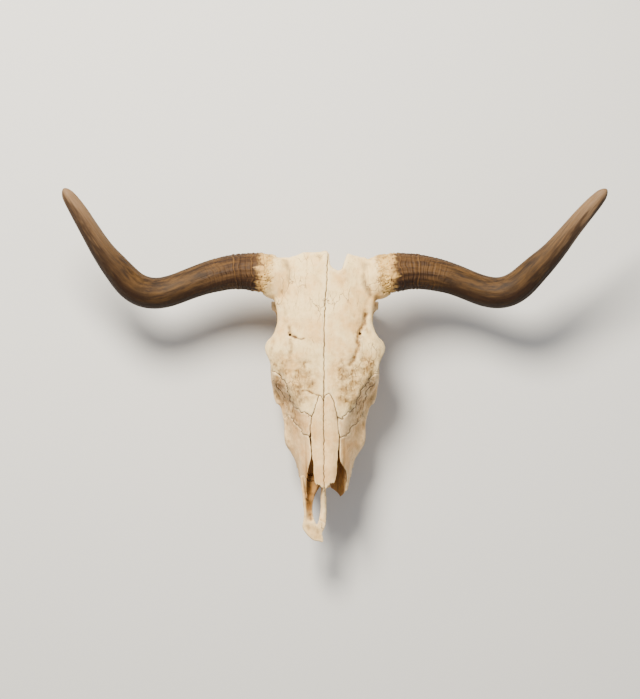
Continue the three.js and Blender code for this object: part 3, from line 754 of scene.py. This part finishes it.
def part_bones(rest):
    """All bones by name, each with the node it stands for."""
    y = np.linspace(-214, -44, 12)
    seat = track(CROWN_Z, y) - NASAL_THICKNESS
    nasal_side = [*zip(y, seat), (-44, 230), (-214, 230)]
    middle_nose = MID[(MID[:, 1] < -57) & (MID[:, 1] > -205)]
    middle_head = MID[MID[:, 1] > -84]
    bones = {}
    bones["nasal_left"] = take(rest, "nasal_left", np.vstack([NASAL_L, middle_nose[::-1]]), nasal_side)
    bones["nasal_right"] = take(rest, "nasal_right", np.vstack([NASAL_R, middle_nose[::-1]]), nasal_side)
    broken = [(-1, -205), (8, -203), (16, -207), (26.5, -219), (36, -209), (42, -200), (90, -200), (90, -330),
              (-1, -330)]
    combine(rest, nasal_cavity(), "DIFFERENCE")
    combine(rest, prism(wavy(broken, 1.6, 91), *CUT), "DIFFERENCE")
    combine(rest, premaxilla(), "UNION")
    revoxel(rest, MUZZLE_VOXEL)
    relax(rest, 10, lambda points: smooth(-168, -182, points[:, 1]))
    combine(rest, prism(mirrored(rounded(FISSURE), -1), *CUT), "DIFFERENCE")
    for rod in drill():
        combine(rest, rod, "DIFFERENCE")
    bones["premaxilla_right"] = take(rest, "premaxilla_right", PREMAXILLA, PREMAXILLA_SIDE)
    edges = {"left": (FRONTAL_L, 1), "right": (FRONTAL_R, -1)}
    for name, (line, side) in edges.items():
        far = abs((HORN_LEFT if side > 0 else HORN_RIGHT)[0][0])
        plan = np.vstack([line, [(side * far, 300), (6.2, 300)], middle_head])
        foot = mirrored([(84, 108), (far, 108), (far, 260), (84, 260)], side)
        bones[f"frontal_{name}"] = take(rest, f"frontal_{name}", plan, FRONTAL_SIDE, foot)
        beyond = mirrored([(far, 60), (300, 60), (300, 300), (far, 300)], side)
        combine(rest, prism(beyond, *REACH), "DIFFERENCE")
    lacrimals = {"left": (LACRIMAL_L, 1), "right": (LACRIMAL_R, -1)}
    cheek = [(40, 34), (130, 34), (130, 130), (40, 130)]
    wide = [(0, -400), (200, -400), (200, 400), (0, 400)]
    for name, (line, side) in lacrimals.items():
        for kind, plan, profile in (("lacrimal", line, LACRIMAL_SIDE),
                                    ("zygomatic", mirrored(ZYGOMATIC, side), ZYGOMATIC_SIDE),
                                    ("temporal", mirrored(cheek, side), TEMPORAL_SIDE),
                                    ("maxilla", mirrored(wide, side), MAXILLA_SIDE)):
            bones[f"{kind}_{name}"] = take(rest, f"{kind}_{name}", plan, profile)
    base = [(-200, -400), (200, -400), (200, 400), (-200, 400)]
    bones["sphenoid_palatine"] = take(rest, "sphenoid_palatine", base, BASE_SIDE)
    bones["occipital"] = rest
    return bones


# ---------------------------------------------------------------- what the bone materials read

STAINS = [
    # x, y, half width, half length and strength of a brown patch in plan, on both sides of the midline; the
    # first, beside each orbit, is painted shade
    (72, -22, 13, 36, 1.25), (54, -76, 13, 24, 0.95), (40, -106, 10, 16, 0.5), (88, 18, 8, 26, 0.6),
    (64, -120, 14, 24, 0.3), (44, -48, 17, 22, 1.1), (33, -18, 20, 28, 1.1), (62, 2, 12, 22, 0.6),
    (92, 138, 14, 20, 0.5), (98, 180, 14, 9, 0.5), (64, 62, 22, 18, 0.25), (22, -70, 6, 20, 0.35),
    (30, -196, 9, 20, 0.4), (72, 100, 12, 26, 0.25),
]
# patches on one side only; the three along the groove at positive x, at (57, 46), (46, 10) and (66, 84), are
# partly stain and partly painted shade
ONE_SIDED_STAINS = [(57, 46, 6, 26, 1.0), (46, 10, 6, 18, 0.8), (66, 84, 6, 22, 0.6), (30, -24, 10, 26, 0.5),
                    (-40, -20, 14, 26, 0.5), (-34, -62, 9, 10, -0.6), (30, 40, 10, 30, 0.25),
                    (22, -88, 5, 5, 1.0), (-58, 36, 6, 16, 0.4), (60, -30, 12, 20, 0.4),
                    (34, 150, 8, 12, 0.35)]


def stain_amount(points):
    """How brown each place is: soft patches in plan, more on the lower faces, and painted shade in the
    grooves as strong as they are deep.
    """
    x, y, z = points.T
    total = 0.06 + 0.55 * smooth(128, 60, z)
    for px, py, width, length, strength in STAINS:
        total += strength * bell((np.abs(x) - px, width), (y - py, length))
    for px, py, width, length, strength in ONE_SIDED_STAINS:
        total += strength * bell((x - px, width), (y - py, length))
    for line, width, depth in GROOVES:
        # painted shade in the grooves, as strong as they are deep
        total += 0.35 * depth * bell((near_line(points, line), 1.1 * width)) * smooth(120, 140, z)
    total *= 0.75 + 0.5 * noise(points, 9, 101) + 0.3 * noise(points, 3.5, 102)
    return np.clip(total, 0, 1)


def inner_amount(points):
    """1 on the walls of the nasal hollow, in the orbits and in the brain's way, where the bone material
    paints shade.
    """
    x, y, z = points.T
    out = np.abs(x)
    under = smooth(track(CROWN_Z, y) - 12, track(CROWN_Z, y) - 22, z)
    floor = smooth(-108, -118, y) * smooth(34.5, 30, out) * under
    front = np.maximum(smooth(-236, -262, y), smooth(-196, -206, y) * smooth(11, 8, out))
    socket = np.hypot((y - ORBIT_Y) / ORBIT_HALF_LENGTH, (z - ORBIT_Z) / ORBIT_HALF_HEIGHT)
    orbit = 0.55 * smooth(1.02, 0.85, socket) * smooth(90, 76, out) * smooth(100, 60, np.abs(y - 6) + 20)
    brain = smooth(26, 19, np.hypot(x, z - 52)) * smooth(120, 140, y)
    return np.clip(floor * (1 - front) + orbit + brain, 0, 1)


RECESS_ROUNDS = 12          # how often the surface is evened out to find what lies below it
RECESS_DEPTH = 0.9          # the depth at which a recess is at its full painted shade, and the height at which a worn edge is at its full colour


def recess_amount(piece, points, normals):
    """How far each place lies below its surroundings: below the surface that is evened out."""
    pairs = edge_pairs(piece)
    even = points
    for _ in range(RECESS_ROUNDS):
        even = averaged(even, pairs, len(points))
    return np.einsum("ij,ij->i", even - points, normals)


def set_attributes(piece, points, normals):
    """Stores on the piece the six amounts that the bone materials read."""
    recess = recess_amount(piece, points, normals)
    # painted shade: the bone material darkens recesses and the pits of the burr by this amount
    give(piece, "recess", np.clip(recess / RECESS_DEPTH + 0.9 * burr_pits(points), 0, 1))
    give(piece, "worn", np.clip(-recess / RECESS_DEPTH, 0, 1))
    give(piece, "stain", stain_amount(points))
    # the bone material paints shade inside the hollows by this amount
    give(piece, "inner", inner_amount(points))
    width = 0.8 + 0.5 * noise(points, 6, 111)
    give(piece, "seam", bell((seam_distance(points), width)))
    give(piece, "burr", burr_amount(points))


FINE = 1.15                 # how fine each bone's skin is
FINE_LARGE = 1.5            # and that of the largest bones
LARGE = ("frontal", "occipital")


def grain(points):
    """Fine unevenness, in millimetres: shallow waves, longer along the skull, and pits on the burrs."""
    long = points * (1, 0.45, 1)
    return 0.10 * noise(long, 3.2, 82) + 0.16 * noise(long, 7.5, 83) - 2.4 * burr_pits(points)


def burr_pits(points):
    """1 at the middle of a pit of the burr and 0 between the pits."""
    crowd = smooth(0.1, 0.75, burr_amount(points) + 0.25 * noise(points, 7, 84))
    return crowd * smooth(0.52, 0.24, cells(points, 3.6, 81))


# ---------------------------------------------------------------- horns

HORN_ROWS, HORN_COLUMNS = 560, 150
LIP = 2.5                   # how far the sheath reaches over the burr
BEND_ROUNDS = 900           # how often the centre line's bend is evened out
RING_STEP, FINE_RING_STEP = 7.3, 4.1
RINGS_FULL, RINGS_END = 25, 125         # the growth rings fade out between these distances from the base


def horn(name, route):
    """A round section carried along the centre line. Its radius swells in growth rings near the base, is
    fluted by strands along its length, and closes to a blunt tip."""
    line = path(route, HORN_ROWS * 3)
    far = np.r_[0, np.cumsum(np.linalg.norm(np.diff(line[:, :3], axis=0), axis=1))]
    steps = np.linspace(0, far[-1], HORN_ROWS)
    line = np.stack([np.interp(steps, far, line[:, k]) for k in range(4)], 1)
    for _ in range(BEND_ROUNDS):        # the two ends stay where they are
        line[1:-1] += 0.25 * (line[2:] - 2 * line[1:-1] + line[:-2])
    centre, radius = line[:, :3], line[:, 3]
    length = steps[-1]
    ahead = np.gradient(centre, axis=0)
    ahead /= np.linalg.norm(ahead, axis=1, keepdims=True)
    level = np.cross((0.0, 0.0, 1.0), ahead)
    level /= np.linalg.norm(level, axis=1, keepdims=True)
    rise = np.cross(ahead, level)
    turn = np.linspace(0, 2 * np.pi, HORN_COLUMNS, endpoint=False)[None, :]
    s = steps[:, None]
    twist = turn + 0.9 * s / length
    strand = np.stack([9 * np.cos(twist) + 0 * s, 9 * np.sin(twist) + 0 * s, s + 0 * turn], -1)
    flat = strand.reshape(-1, 3)
    shape = s.shape[0], turn.shape[1]
    wander = noise(flat * (0.35, 0.35, 0.05), 1.0, 201).reshape(shape)
    ring_place = s + 3.2 * wander + 2.0 * np.sin(twist + 1.0)
    base = smooth(RINGS_END, RINGS_FULL, s)
    rings = (np.sin(2 * np.pi * ring_place / RING_STEP) * 0.4
             + 0.35 * np.sin(2 * np.pi * ring_place / FINE_RING_STEP + 1.3))
    ring_noise = noise(np.stack([ring_place, 0.02 * twist, 0 * s + 0 * turn], -1).reshape(-1, 3), 3.0, 202)
    rings = rings + 0.35 * ring_noise.reshape(shape)
    flutes = noise(flat * (1.0, 1.0, 0.018), 1.5, 203).reshape(shape)
    fine = noise(flat * (1.0, 1.0, 0.03), 0.55, 204).reshape(shape)
    chips = noise(flat * (0.5, 0.5, 0.05), 1.0, 205).reshape(shape)
    sleeve = 1.5 - 1.2 * smooth(0, 34, s) - 0.8 * smooth(3, 0, s)
    lift = base * rings + (0.35 + 0.3 * base) * flutes + 0.14 * fine + 0.3 * np.clip(chips, 0, 1) + sleeve
    fade = smooth(length, length - 20, s)
    end = np.sqrt(np.clip(1 - np.clip((s - (length - 16)) / 16.2, 0, 1) ** 2.2, 0.0004, 1))
    size = (radius[:, None] + lift * (0.3 + 0.7 * fade)) * end
    points = (centre[:, None] + level[:, None] * (size * np.cos(turn))[..., None]
              + rise[:, None] * (size * 0.97 * np.sin(turn))[..., None])
    near = abs(route[0][0])
    side = np.sign(route[0][0])
    edge = near - LIP + 1.3 * noise(flat[:HORN_COLUMNS] * (0.35, 0.35, 1), 1.0, 206)[None, :]
    straight = smooth(18, 0, s)
    points[..., 0] = side * ((1 - straight) * side * points[..., 0] + straight * (edge + 1.15 * s))
    piece = tube_object(name, points)
    pad = np.zeros(2)                   # the middles of the two ends come last
    give(piece, "along", np.r_[(s / length + 0 * turn).ravel(), 0.0, 1.0])
    give(piece, "from_base", np.r_[(s + 0 * turn).ravel(), 0.0, length])
    give(piece, "ring", np.r_[rings.ravel(), pad])
    give(piece, "flute", np.r_[flutes.ravel(), pad])
    attribute = piece.data.attributes.new("strand", "FLOAT_VECTOR", "POINT")
    vectors = np.vstack([flat, flat[0], flat[-1]])
    attribute.data.foreach_set("vector", vectors.astype(np.float32).ravel())
    return piece


# ---------------------------------------------------------------- teeth

TOOTH_LENGTHS = (15, 18, 19, 24, 27, 29)
TOOTH_ROW_REAR, TOOTH_TILT, TOOTH_HEIGHT = -48.0, 0.345, 28.5
TOOTH_COLUMNS = 72
TOOTH_ROUNDNESS = 0.42      # 1 makes the tooth's outline an ellipse and 0 a box


def teeth(side):
    """Six cheek teeth that grow towards the rear. Each is a rounded block whose outer wall bulges in ribs and
    whose inner wall is two lobes; its worn end sinks in two crescents."""
    pieces = []
    rear = TOOTH_ROW_REAR
    for number in range(5, -1, -1):
        length = TOOTH_LENGTHS[number]
        middle = rear - length / 2
        rear -= length
        half_width = 7 + 0.9 * number
        half_length = length / 2 - SUTURE
        x = 36 + 11 * math.sin(math.pi / 2 * (number + 0.6) / 6)
        root = float(track(SILL_Z, middle))
        turn = np.linspace(0, 2 * np.pi, TOOTH_COLUMNS, endpoint=False)
        u, v = (np.sign(wave) * np.abs(wave) ** TOOTH_ROUNDNESS for wave in (np.cos(turn), np.sin(turn)))
        ribs = np.where(u > 0, 0.09 * np.cos(2 * np.pi * v), 0.10 * np.abs(np.sin(np.pi * v)) - 0.05)
        outline = np.stack([u * (1 + ribs) * half_width, v * half_length], -1)
        heights = np.array([-20, -12, -6, 0, 8, 16, TOOTH_HEIGHT - 3, TOOTH_HEIGHT - 0.8, TOOTH_HEIGHT])
        sizes = np.array([0.86, 0.9, 0.93, 0.97, 1.0, 1.0, 0.99, 0.95, 0.9])
        rings = [np.c_[outline * size, np.full(TOOTH_COLUMNS, -height)]
                 for height, size in zip(heights, sizes)]
        for shrink in (0.8, 0.66, 0.5, 0.34, 0.2, 0.08):
            inner = outline * shrink
            lobes = np.cos(2 * np.pi * inner[:, 1] / half_length) * bell((shrink - 0.45, 0.22))
            rings.append(np.c_[inner, -TOOTH_HEIGHT + 0.3 + 1.5 * np.clip(lobes, 0, 1)])
        rings = np.array(rings)
        tilt = -math.atan(TOOTH_TILT)
        y, z = rings[..., 1].copy(), rings[..., 2].copy()
        rings[..., 1] = y * math.cos(tilt) - z * math.sin(tilt)
        rings[..., 2] = y * math.sin(tilt) + z * math.cos(tilt)
        rings[..., 0] = side * (rings[..., 0] + x)
        rings[..., 1] += middle
        rings[..., 2] = np.maximum(rings[..., 2] + root, 0.0)
        pieces.append(tube_object("tooth", rings))
    row = pieces[0]
    for other in pieces[1:]:
        combine(row, other, "UNION")
    return row


# ---------------------------------------------------------------- shading

def srgb(red, green, blue):
    """A colour named in 0-255 steps as the linear value that a shader needs."""
    value = np.array([red, green, blue]) / 255
    linear = np.where(value <= 0.04045, value / 12.92, ((value + 0.055) / 1.055) ** 2.4)
    return (*map(float, linear), 1.0)


class Wires:
    """Makes nodes in one tree and joins them: an input is a plain value or another node's socket."""

    def __init__(self, tree):
        """Works in the given tree."""
        self.tree = tree

    def add(self, kind, inputs, output=0, **settings):
        """A new node with its inputs and settings; gives the socket of one output."""
        node = self.tree.nodes.new(kind)
        for key, value in settings.items():
            setattr(node, key, value)
        for key, value in inputs.items():
            socket = node.inputs[key]
            if isinstance(value, bpy.types.NodeSocket):
                self.tree.links.new(value, socket)
            else:
                socket.default_value = value
        return node.outputs[output]

    def math(self, operation, first, second=0.0):
        """The two values put together by the named operation."""
        return self.add("ShaderNodeMath", {0: first, 1: second}, operation=operation)

    def times(self, first, second):
        """The product of the two values."""
        return self.math("MULTIPLY", first, second)

    def blend(self, amount, first, second):
        """The first colour where the amount is 0 and the second where it is 1."""
        inputs = {"Factor": amount, 6: first, 7: second}
        return self.add("ShaderNodeMix", inputs, 2, data_type="RGBA", blend_type="MIX", clamp_factor=True)

    def over(self, color, mask, strength, paint):
        """The colour with a paint over it, as strong as the mask times the strength."""
        return self.blend(self.times(mask, strength), color, srgb(*paint))

    def between(self, value, low, high):
        """0 where the value is low, 1 where it is high."""
        inputs = {"Value": value, "From Min": low, "From Max": high}
        return self.add("ShaderNodeMapRange", inputs, interpolation_type="SMOOTHSTEP")

    def stretched(self, vector, scale):
        """The vector with each axis times its scale."""
        return self.add("ShaderNodeVectorMath", {0: vector, 1: scale}, operation="MULTIPLY")

    def noise(self, vector, scale, detail=3.0, roughness=0.55, warp=0.0):
        """Smooth noise from 0 to 1."""
        inputs = {"Vector": vector, "Scale": scale, "Detail": detail, "Roughness": roughness,
                  "Distortion": warp}
        return self.add("ShaderNodeTexNoise", inputs)

    def spots(self, vector, scale, feature="F1"):
        """The distance to the nearest of scattered points, or to the edge between two cells."""
        return self.add("ShaderNodeTexVoronoi", {"Vector": vector, "Scale": scale}, feature=feature)


def shader_group(name, inputs, outputs):
    """An empty node group with named inputs and outputs, and its input and output nodes."""
    tree = bpy.data.node_groups.new(name, "ShaderNodeTree")
    for label, kind in inputs:
        tree.interface.new_socket(label, in_out="INPUT", socket_type=f"NodeSocket{kind}")
    for label, kind in outputs:
        tree.interface.new_socket(label, in_out="OUTPUT", socket_type=f"NodeSocket{kind}")
    return tree, tree.nodes.new("NodeGroupInput").outputs, tree.nodes.new("NodeGroupOutput").inputs


SURFACE = [("Color", "Color"), ("Roughness", "Float"), ("Height", "Float")]
FIELDS = {name.capitalize(): name for name in ("recess", "worn", "stain", "inner", "seam", "burr")}


def bone_group():
    """Weathered bone: mottled cream, browner in hollows and stains, dark in seams, pores and hair cracks."""
    inputs = [("Position", "Vector"), ("Pale", "Color"), ("Warm", "Color"), *((f, "Float") for f in FIELDS)]
    tree, given, made = shader_group("weathered bone", inputs, SURFACE)
    wires = Wires(tree)
    place = given["Position"]
    long = wires.stretched(place, (1.0, 0.3, 1.0))
    clouds = wires.noise(place, 22.0, 4.0, 0.6, 0.4)
    mottle = wires.noise(place, 95.0, 5.0, 0.65)
    streaks = wires.noise(long, 260.0, 4.0, 0.6, 0.6)
    color = wires.blend(wires.between(clouds, 0.38, 0.68), given["Pale"], given["Warm"])
    color = wires.over(color, wires.between(mottle, 0.5, 0.72), 0.45, (214, 176, 118))
    color = wires.over(color, wires.between(streaks, 0.5, 0.7), 0.4, (196, 152, 92))
    color = wires.over(color, wires.between(mottle, 0.48, 0.25), 0.35, (255, 228, 174))
    # stains, together with painted shade in the grooves and beside the orbits
    stain = wires.times(given["Stain"], wires.between(mottle, 0.28, 0.62))
    color = wires.over(color, stain, 0.85, (150, 112, 58))
    deep = wires.between(wires.times(stain, wires.between(streaks, 0.35, 0.65)), 0.35, 0.9)
    color = wires.over(color, deep, 0.7, (88, 60, 28))
    # painted shade in recesses and in the pits of the burr
    color = wires.over(color, given["Recess"], 0.85, (84, 52, 24))
    color = wires.over(color, given["Worn"], 0.45, (255, 231, 182))
    burr_mix = wires.times(given["Burr"], wires.between(mottle, 0.42, 0.66))
    color = wires.over(color, given["Burr"], 0.8, (210, 166, 86))
    color = wires.over(color, burr_mix, 0.66, (122, 86, 36))
    # painted shade: a darker brown inside the nasal hollow, the orbits and the brain's way
    inner = wires.blend(wires.between(streaks, 0.2, 0.8), srgb(108, 68, 24), srgb(172, 120, 54))
    color = wires.blend(wires.times(given["Inner"], 0.9), color, inner)
    # hair cracks run along the skull, only in patches; pores are small round pits
    drawn = wires.stretched(place, (1.0, 0.28, 1.0))
    wander = wires.add("ShaderNodeTexNoise", {"Vector": place, "Scale": 70.0}, 1)
    bent = wires.add("ShaderNodeVectorMath", {0: drawn, 1: wires.stretched(wander, (0.011, 0.011, 0.011))})
    crack_edge = wires.spots(bent, 62.0, "DISTANCE_TO_EDGE")
    patches = wires.between(wires.noise(place, 16.0, 2.0), 0.5, 0.62)
    cracks = wires.times(wires.between(crack_edge, 0.022, 0.004), patches)
    pores = wires.times(wires.between(wires.spots(place, 430.0), 0.20, 0.10),
                        wires.between(wires.noise(place, 48.0, 2.0), 0.5, 0.66))
    marks = wires.math("MAXIMUM", wires.times(cracks, 0.75), wires.times(pores, 0.65))
    color = wires.blend(marks, color, srgb(116, 82, 54))
    seam = wires.times(given["Seam"], wires.between(wires.noise(place, 120.0, 3.0), 0.22, 0.5))
    color = wires.over(color, seam, 0.85, (84, 54, 32))
    tree.links.new(color, made["Color"])
    rough = wires.math("ADD", 0.56, wires.times(mottle, 0.16))
    rough = wires.math("SUBTRACT", rough, wires.times(given["Worn"], 0.08))
    tree.links.new(wires.math("ADD", rough, wires.times(given["Inner"], 0.15)), made["Roughness"])
    fine = wires.noise(place, 620.0, 4.0, 0.6)
    height = wires.math("ADD", wires.times(fine, 0.22), wires.times(streaks, 0.38))
    height = wires.math("ADD", height, wires.times(mottle, 0.35))
    tree.links.new(wires.math("SUBTRACT", height, wires.times(marks, 0.9)), made["Height"])
    return tree


def horn_group():
    """Weathered horn: strands of brown and grey along it, cream growth rings near the base, a paler tip,
    painted light on the side that faces up and back and painted shade on the side that faces down.
    """
    inputs = [("Strand", "Vector"), ("Along", "Float"), ("Base Distance", "Float"), ("Ring", "Float"),
              ("Flute", "Float"), ("Upward", "Float")]
    tree, given, made = shader_group("weathered horn", inputs, SURFACE)
    wires = Wires(tree)
    strands, threads, patches, flakes = (
        wires.noise(wires.stretched(given["Strand"], (across, across, along)), 1.0, detail, roughness)
        for across, along, detail, roughness in ((0.9, 0.012, 4.0, 0.65), (2.4, 0.02, 3.0, 0.6),
                                                 (0.12, 0.014, 3.0, 0.55), (0.5, 0.035, 4.0, 0.6)))
    base = wires.between(given["Base Distance"], 112.0, 30.0)
    tip = wires.between(given["Along"], 0.55, 0.98)
    color = wires.blend(wires.between(patches, 0.35, 0.65), srgb(34, 20, 6), srgb(60, 40, 14))
    color = wires.over(color, base, 0.7, (62, 39, 18))
    color = wires.over(color, tip, 0.85, (136, 108, 80))
    color = wires.over(color, wires.between(strands, 0.5, 0.7), 0.65, (36, 19, 8))
    color = wires.over(color, wires.between(strands, 0.45, 0.28), 0.5, (96, 65, 27))
    color = wires.over(color, wires.between(threads, 0.52, 0.72), 0.6, (30, 16, 7))
    ring_light = wires.times(wires.between(given["Ring"], 0.2, 1.1), base)
    color = wires.over(color, ring_light, 0.4, (128, 92, 48))
    ring_dark = wires.times(wires.between(given["Ring"], -0.1, -0.9), base)
    color = wires.over(color, ring_dark, 0.7, (30, 15, 6))
    # painted light: paler flakes on the side that faces up and back, towards the key light
    worn = wires.times(given["Upward"], wires.between(flakes, 0.40, 0.66))
    color = wires.over(color, worn, 0.4, (116, 82, 42))
    # painted shade: dark patches on the side that faces down
    low = wires.between(given["Upward"], 0.80, 0.46)
    dark = wires.times(low, wires.between(patches, 0.38, 0.54))
    color = wires.over(color, dark, 0.72, (30, 13, 6))
    # the sheath thins out over the burr, whose pitted bone shows at its edge
    edge = wires.math("ADD", given["Base Distance"], wires.times(wires.math("SUBTRACT", flakes, 0.5), 40.0))
    color = wires.over(color, wires.between(edge, 12.0, 0.0), 0.85, (214, 168, 98))
    pits = wires.spots(wires.stretched(given["Strand"], (0.55, 0.55, 0.3)), 1.0)
    pitted = wires.times(wires.between(pits, 0.42, 0.2), wires.between(given["Base Distance"], 22.0, 8.0))
    color = wires.over(color, pitted, 0.8, (74, 42, 22))
    tree.links.new(color, made["Color"])
    rough = wires.math("ADD", 0.52, wires.times(flakes, 0.25))
    tree.links.new(rough, made["Roughness"])
    height = wires.math("ADD", wires.times(strands, 0.5), wires.times(threads, 0.3))
    tree.links.new(wires.math("ADD", height, wires.times(flakes, 0.35)), made["Height"])
    return tree


def tooth_group():
    """Old tooth: ivory enamel with brown bands along its ribs."""
    tree, given, made = shader_group("old tooth", [("Position", "Vector")], SURFACE)
    wires = Wires(tree)
    upright = wires.noise(wires.stretched(given["Position"], (1.0, 1.0, 0.2)), 240.0, 4.0, 0.6)
    cloud = wires.noise(given["Position"], 90.0, 3.0)
    color = wires.blend(wires.between(cloud, 0.35, 0.65), srgb(240, 214, 170), srgb(208, 170, 118))
    color = wires.over(color, wires.between(upright, 0.5, 0.7), 0.7, (110, 80, 50))
    tree.links.new(color, made["Color"])
    tree.links.new(wires.math("ADD", 0.28, wires.times(upright, 0.2)), made["Roughness"])
    tree.links.new(upright, made["Height"])
    return tree


BUMP_STRENGTH = 0.8


def material(name, group, values, attributes, relief_depth, sheen, coordinates=None):
    """A Principled material whose colour, roughness and relief come from the group. The sheen is low on dry
    bone."""
    made = bpy.data.materials.new(name)
    made.use_nodes = True
    tree = made.node_tree
    principled = tree.nodes["Principled BSDF"]
    principled.inputs["Specular IOR Level"].default_value = sheen
    effect = tree.nodes.new("ShaderNodeGroup")
    effect.node_tree = group
    for key, value in values.items():
        effect.inputs[key].default_value = value
    if coordinates:
        place = tree.nodes.new("ShaderNodeTexCoord")
        tree.links.new(place.outputs["Object"], effect.inputs[coordinates])
    for socket, attribute in attributes.items():
        reader = tree.nodes.new("ShaderNodeAttribute")
        reader.attribute_name = attribute
        output = "Vector" if socket == "Strand" else "Fac"
        tree.links.new(reader.outputs[output], effect.inputs[socket])
    bump = tree.nodes.new("ShaderNodeBump")
    bump.inputs["Strength"].default_value = BUMP_STRENGTH
    bump.inputs["Distance"].default_value = relief_depth
    tree.links.new(effect.outputs["Height"], bump.inputs["Height"])
    tree.links.new(bump.outputs["Normal"], principled.inputs["Normal"])
    tree.links.new(effect.outputs["Color"], principled.inputs["Base Color"])
    tree.links.new(effect.outputs["Roughness"], principled.inputs["Roughness"])
    return made


BONE_GROUP = bone_group()


def bone_material(name, pale, warm):
    """Weathered bone between a pale and a warm colour."""
    colors = {"Pale": srgb(*pale), "Warm": srgb(*warm)}
    return material(name, BONE_GROUP, colors, FIELDS, 0.0009, 0.25, "Position")


MATERIALS = {
    "frontal_bone": bone_material("bone of the forehead", (255, 221, 154), (240, 190, 116)),
    "nasal_bone": bone_material("bone of the nose", (250, 208, 142), (228, 176, 106)),
    "face_bone": bone_material("bone of the face", (246, 206, 148), (218, 166, 102)),
    "base_bone": bone_material("bone of the base", (230, 194, 142), (196, 150, 94)),
    "horn_keratin": material(
        "horn", horn_group(), {}, {"Strand": "strand", "Along": "along", "Base Distance": "from_base",
                                   "Ring": "ring", "Flute": "flute", "Upward": "upward"}, 0.0012, 0.22),
    "tooth": material("old tooth", tooth_group(), {}, {}, 0.0004, 0.5, "Position"),
}
SLOTS = {"frontal": "frontal_bone", "nasal": "nasal_bone", "premaxilla": "nasal_bone",
         "lacrimal": "face_bone", "zygomatic": "face_bone", "maxilla": "face_bone",
         "temporal": "base_bone", "sphenoid": "base_bone", "occipital": "base_bone"}


# ---------------------------------------------------------------- the pieces in the frame

def settle(piece, name, paint):
    """Puts a finished piece into the frame: metres, the skull's midline at its place, smooth faces and its
    paint."""
    points, _ = arrays(piece)
    set_points(piece, (points + (MIDLINE_X, 0, 0)) * MM)
    piece.name = name
    piece.data.name = name
    piece.data.materials.clear()
    piece.data.materials.append(MATERIALS[paint])
    piece.data.shade_smooth()
    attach(piece, "root")


def build_bones():
    """Makes the skull, parts it, and gives each bone its fine skin, its grain and its paint."""
    whole = whole_skull()
    relief(whole)
    for node, bone in part_bones(whole).items():
        revoxel(bone, FINE_LARGE if node.startswith(LARGE) else FINE)
        bone = drop_slivers(bone)
        relax(bone, 2)
        points, _ = arrays(bone)
        normals = normals_of(bone)
        points = points + grain(points)[:, None] * normals
        points[:, 2] = np.maximum(points[:, 2], 0.0)
        set_points(bone, points)
        set_attributes(bone, points, normals)
        slot = SLOTS[node.split("_")[0]]
        settle(bone, f"bone_{node}", slot)
        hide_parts(node)


def build_horns():
    """Makes both sheaths; the horn material paints light on what looks up and back on them, and shade on what
    looks down.
    """
    for node, route in (("horn_left", HORN_LEFT), ("horn_right", HORN_RIGHT)):
        piece = horn(node, route)
        normals = normals_of(piece)
        # how far each place faces up and back, towards the key light; the horn material paints light and
        # shade by it
        give(piece, "upward", np.clip(0.5 + 0.5 * normals[:, 1] + 0.25 * normals[:, 2], 0, 1))
        settle(piece, f"sheath_{node}", "horn_keratin")
        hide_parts(node)


def build_teeth():
    """Makes both rows of cheek teeth, which stand for no node."""
    for name, side in (("left", 1), ("right", -1)):
        row = teeth(side)
        settle(row, f"teeth_{name}", "tooth")
        row.data.set_sharp_from_angle(angle=math.radians(50))


build_bones()
build_horns()
build_teeth()

# ---------------------------------------------------------------- floor, light and camera

PICTURE_WIDTH = 640
PICTURE_SCALE = 1.66 * MM               # metres per pixel at the skull's forehead
PICTURE_CENTRE = (MIDLINE_X * MM - 5 * PICTURE_SCALE, 16.5 * PICTURE_SCALE)
CAMERA_HEIGHT = 9.0
FOREHEAD_HEIGHT = 0.17
SENSOR = 36.0


def floor():
    """A plain pale floor that the skull lies on."""
    mesh = bpy.data.meshes.new("floor")
    half = 6.0
    corners = [(-half, -half, 0), (half, -half, 0), (half, half, 0), (-half, half, 0)]
    mesh.from_pydata(corners, [], [(0, 1, 2, 3)])
    ground = bpy.data.objects.new("floor", mesh)
    bpy.context.scene.collection.objects.link(ground)
    paint = bpy.data.materials.new("pale floor")
    paint.use_nodes = True
    principled = paint.node_tree.nodes["Principled BSDF"]
    principled.inputs["Base Color"].default_value = srgb(214, 212, 208)
    principled.inputs["Roughness"].default_value = 0.8
    mesh.materials.append(paint)


def light(name, place, target, size, power, color):
    """A round area light at a place, turned towards its target."""
    lamp = bpy.data.lights.new(name, "AREA")
    lamp.shape = "DISK"
    lamp.size = size
    lamp.energy = power
    lamp.color = color
    holder = bpy.data.objects.new(name, lamp)
    holder.location = place
    way = np.array(target, float) - np.array(place, float)
    yaw, pitch = math.atan2(way[1], way[0]), math.atan2(-way[2], math.hypot(way[0], way[1]))
    holder.rotation_euler = (math.pi / 2 - pitch, 0, yaw - math.pi / 2)
    bpy.context.scene.collection.objects.link(holder)


def camera():
    """A camera straight above the skull whose picture is as wide as the floor's part that is shown."""
    eye = bpy.data.cameras.new("camera")
    eye.sensor_fit = "HORIZONTAL"
    eye.sensor_width = SENSOR
    eye.lens = SENSOR * (CAMERA_HEIGHT - FOREHEAD_HEIGHT) / (PICTURE_WIDTH * PICTURE_SCALE)
    eye.clip_end = 100
    holder = bpy.data.objects.new("camera", eye)
    holder.location = (*PICTURE_CENTRE, CAMERA_HEIGHT)
    bpy.context.scene.collection.objects.link(holder)
    bpy.context.scene.camera = holder


floor()
light("key", (-0.7, 1.5, 2.3), (0, 0, 0.1), 1.0, 235, (1.0, 0.945, 0.83))
light("fill", (1.8, -0.6, 2.2), (0, 0, 0.1), 2.2, 16, (0.95, 0.97, 1.0))
world = bpy.data.worlds.new("studio")
world.use_nodes = True
sky = world.node_tree.nodes["Background"]
sky.inputs["Color"].default_value = srgb(235, 236, 240)
sky.inputs["Strength"].default_value = 0.42
bpy.context.scene.world = world
camera()
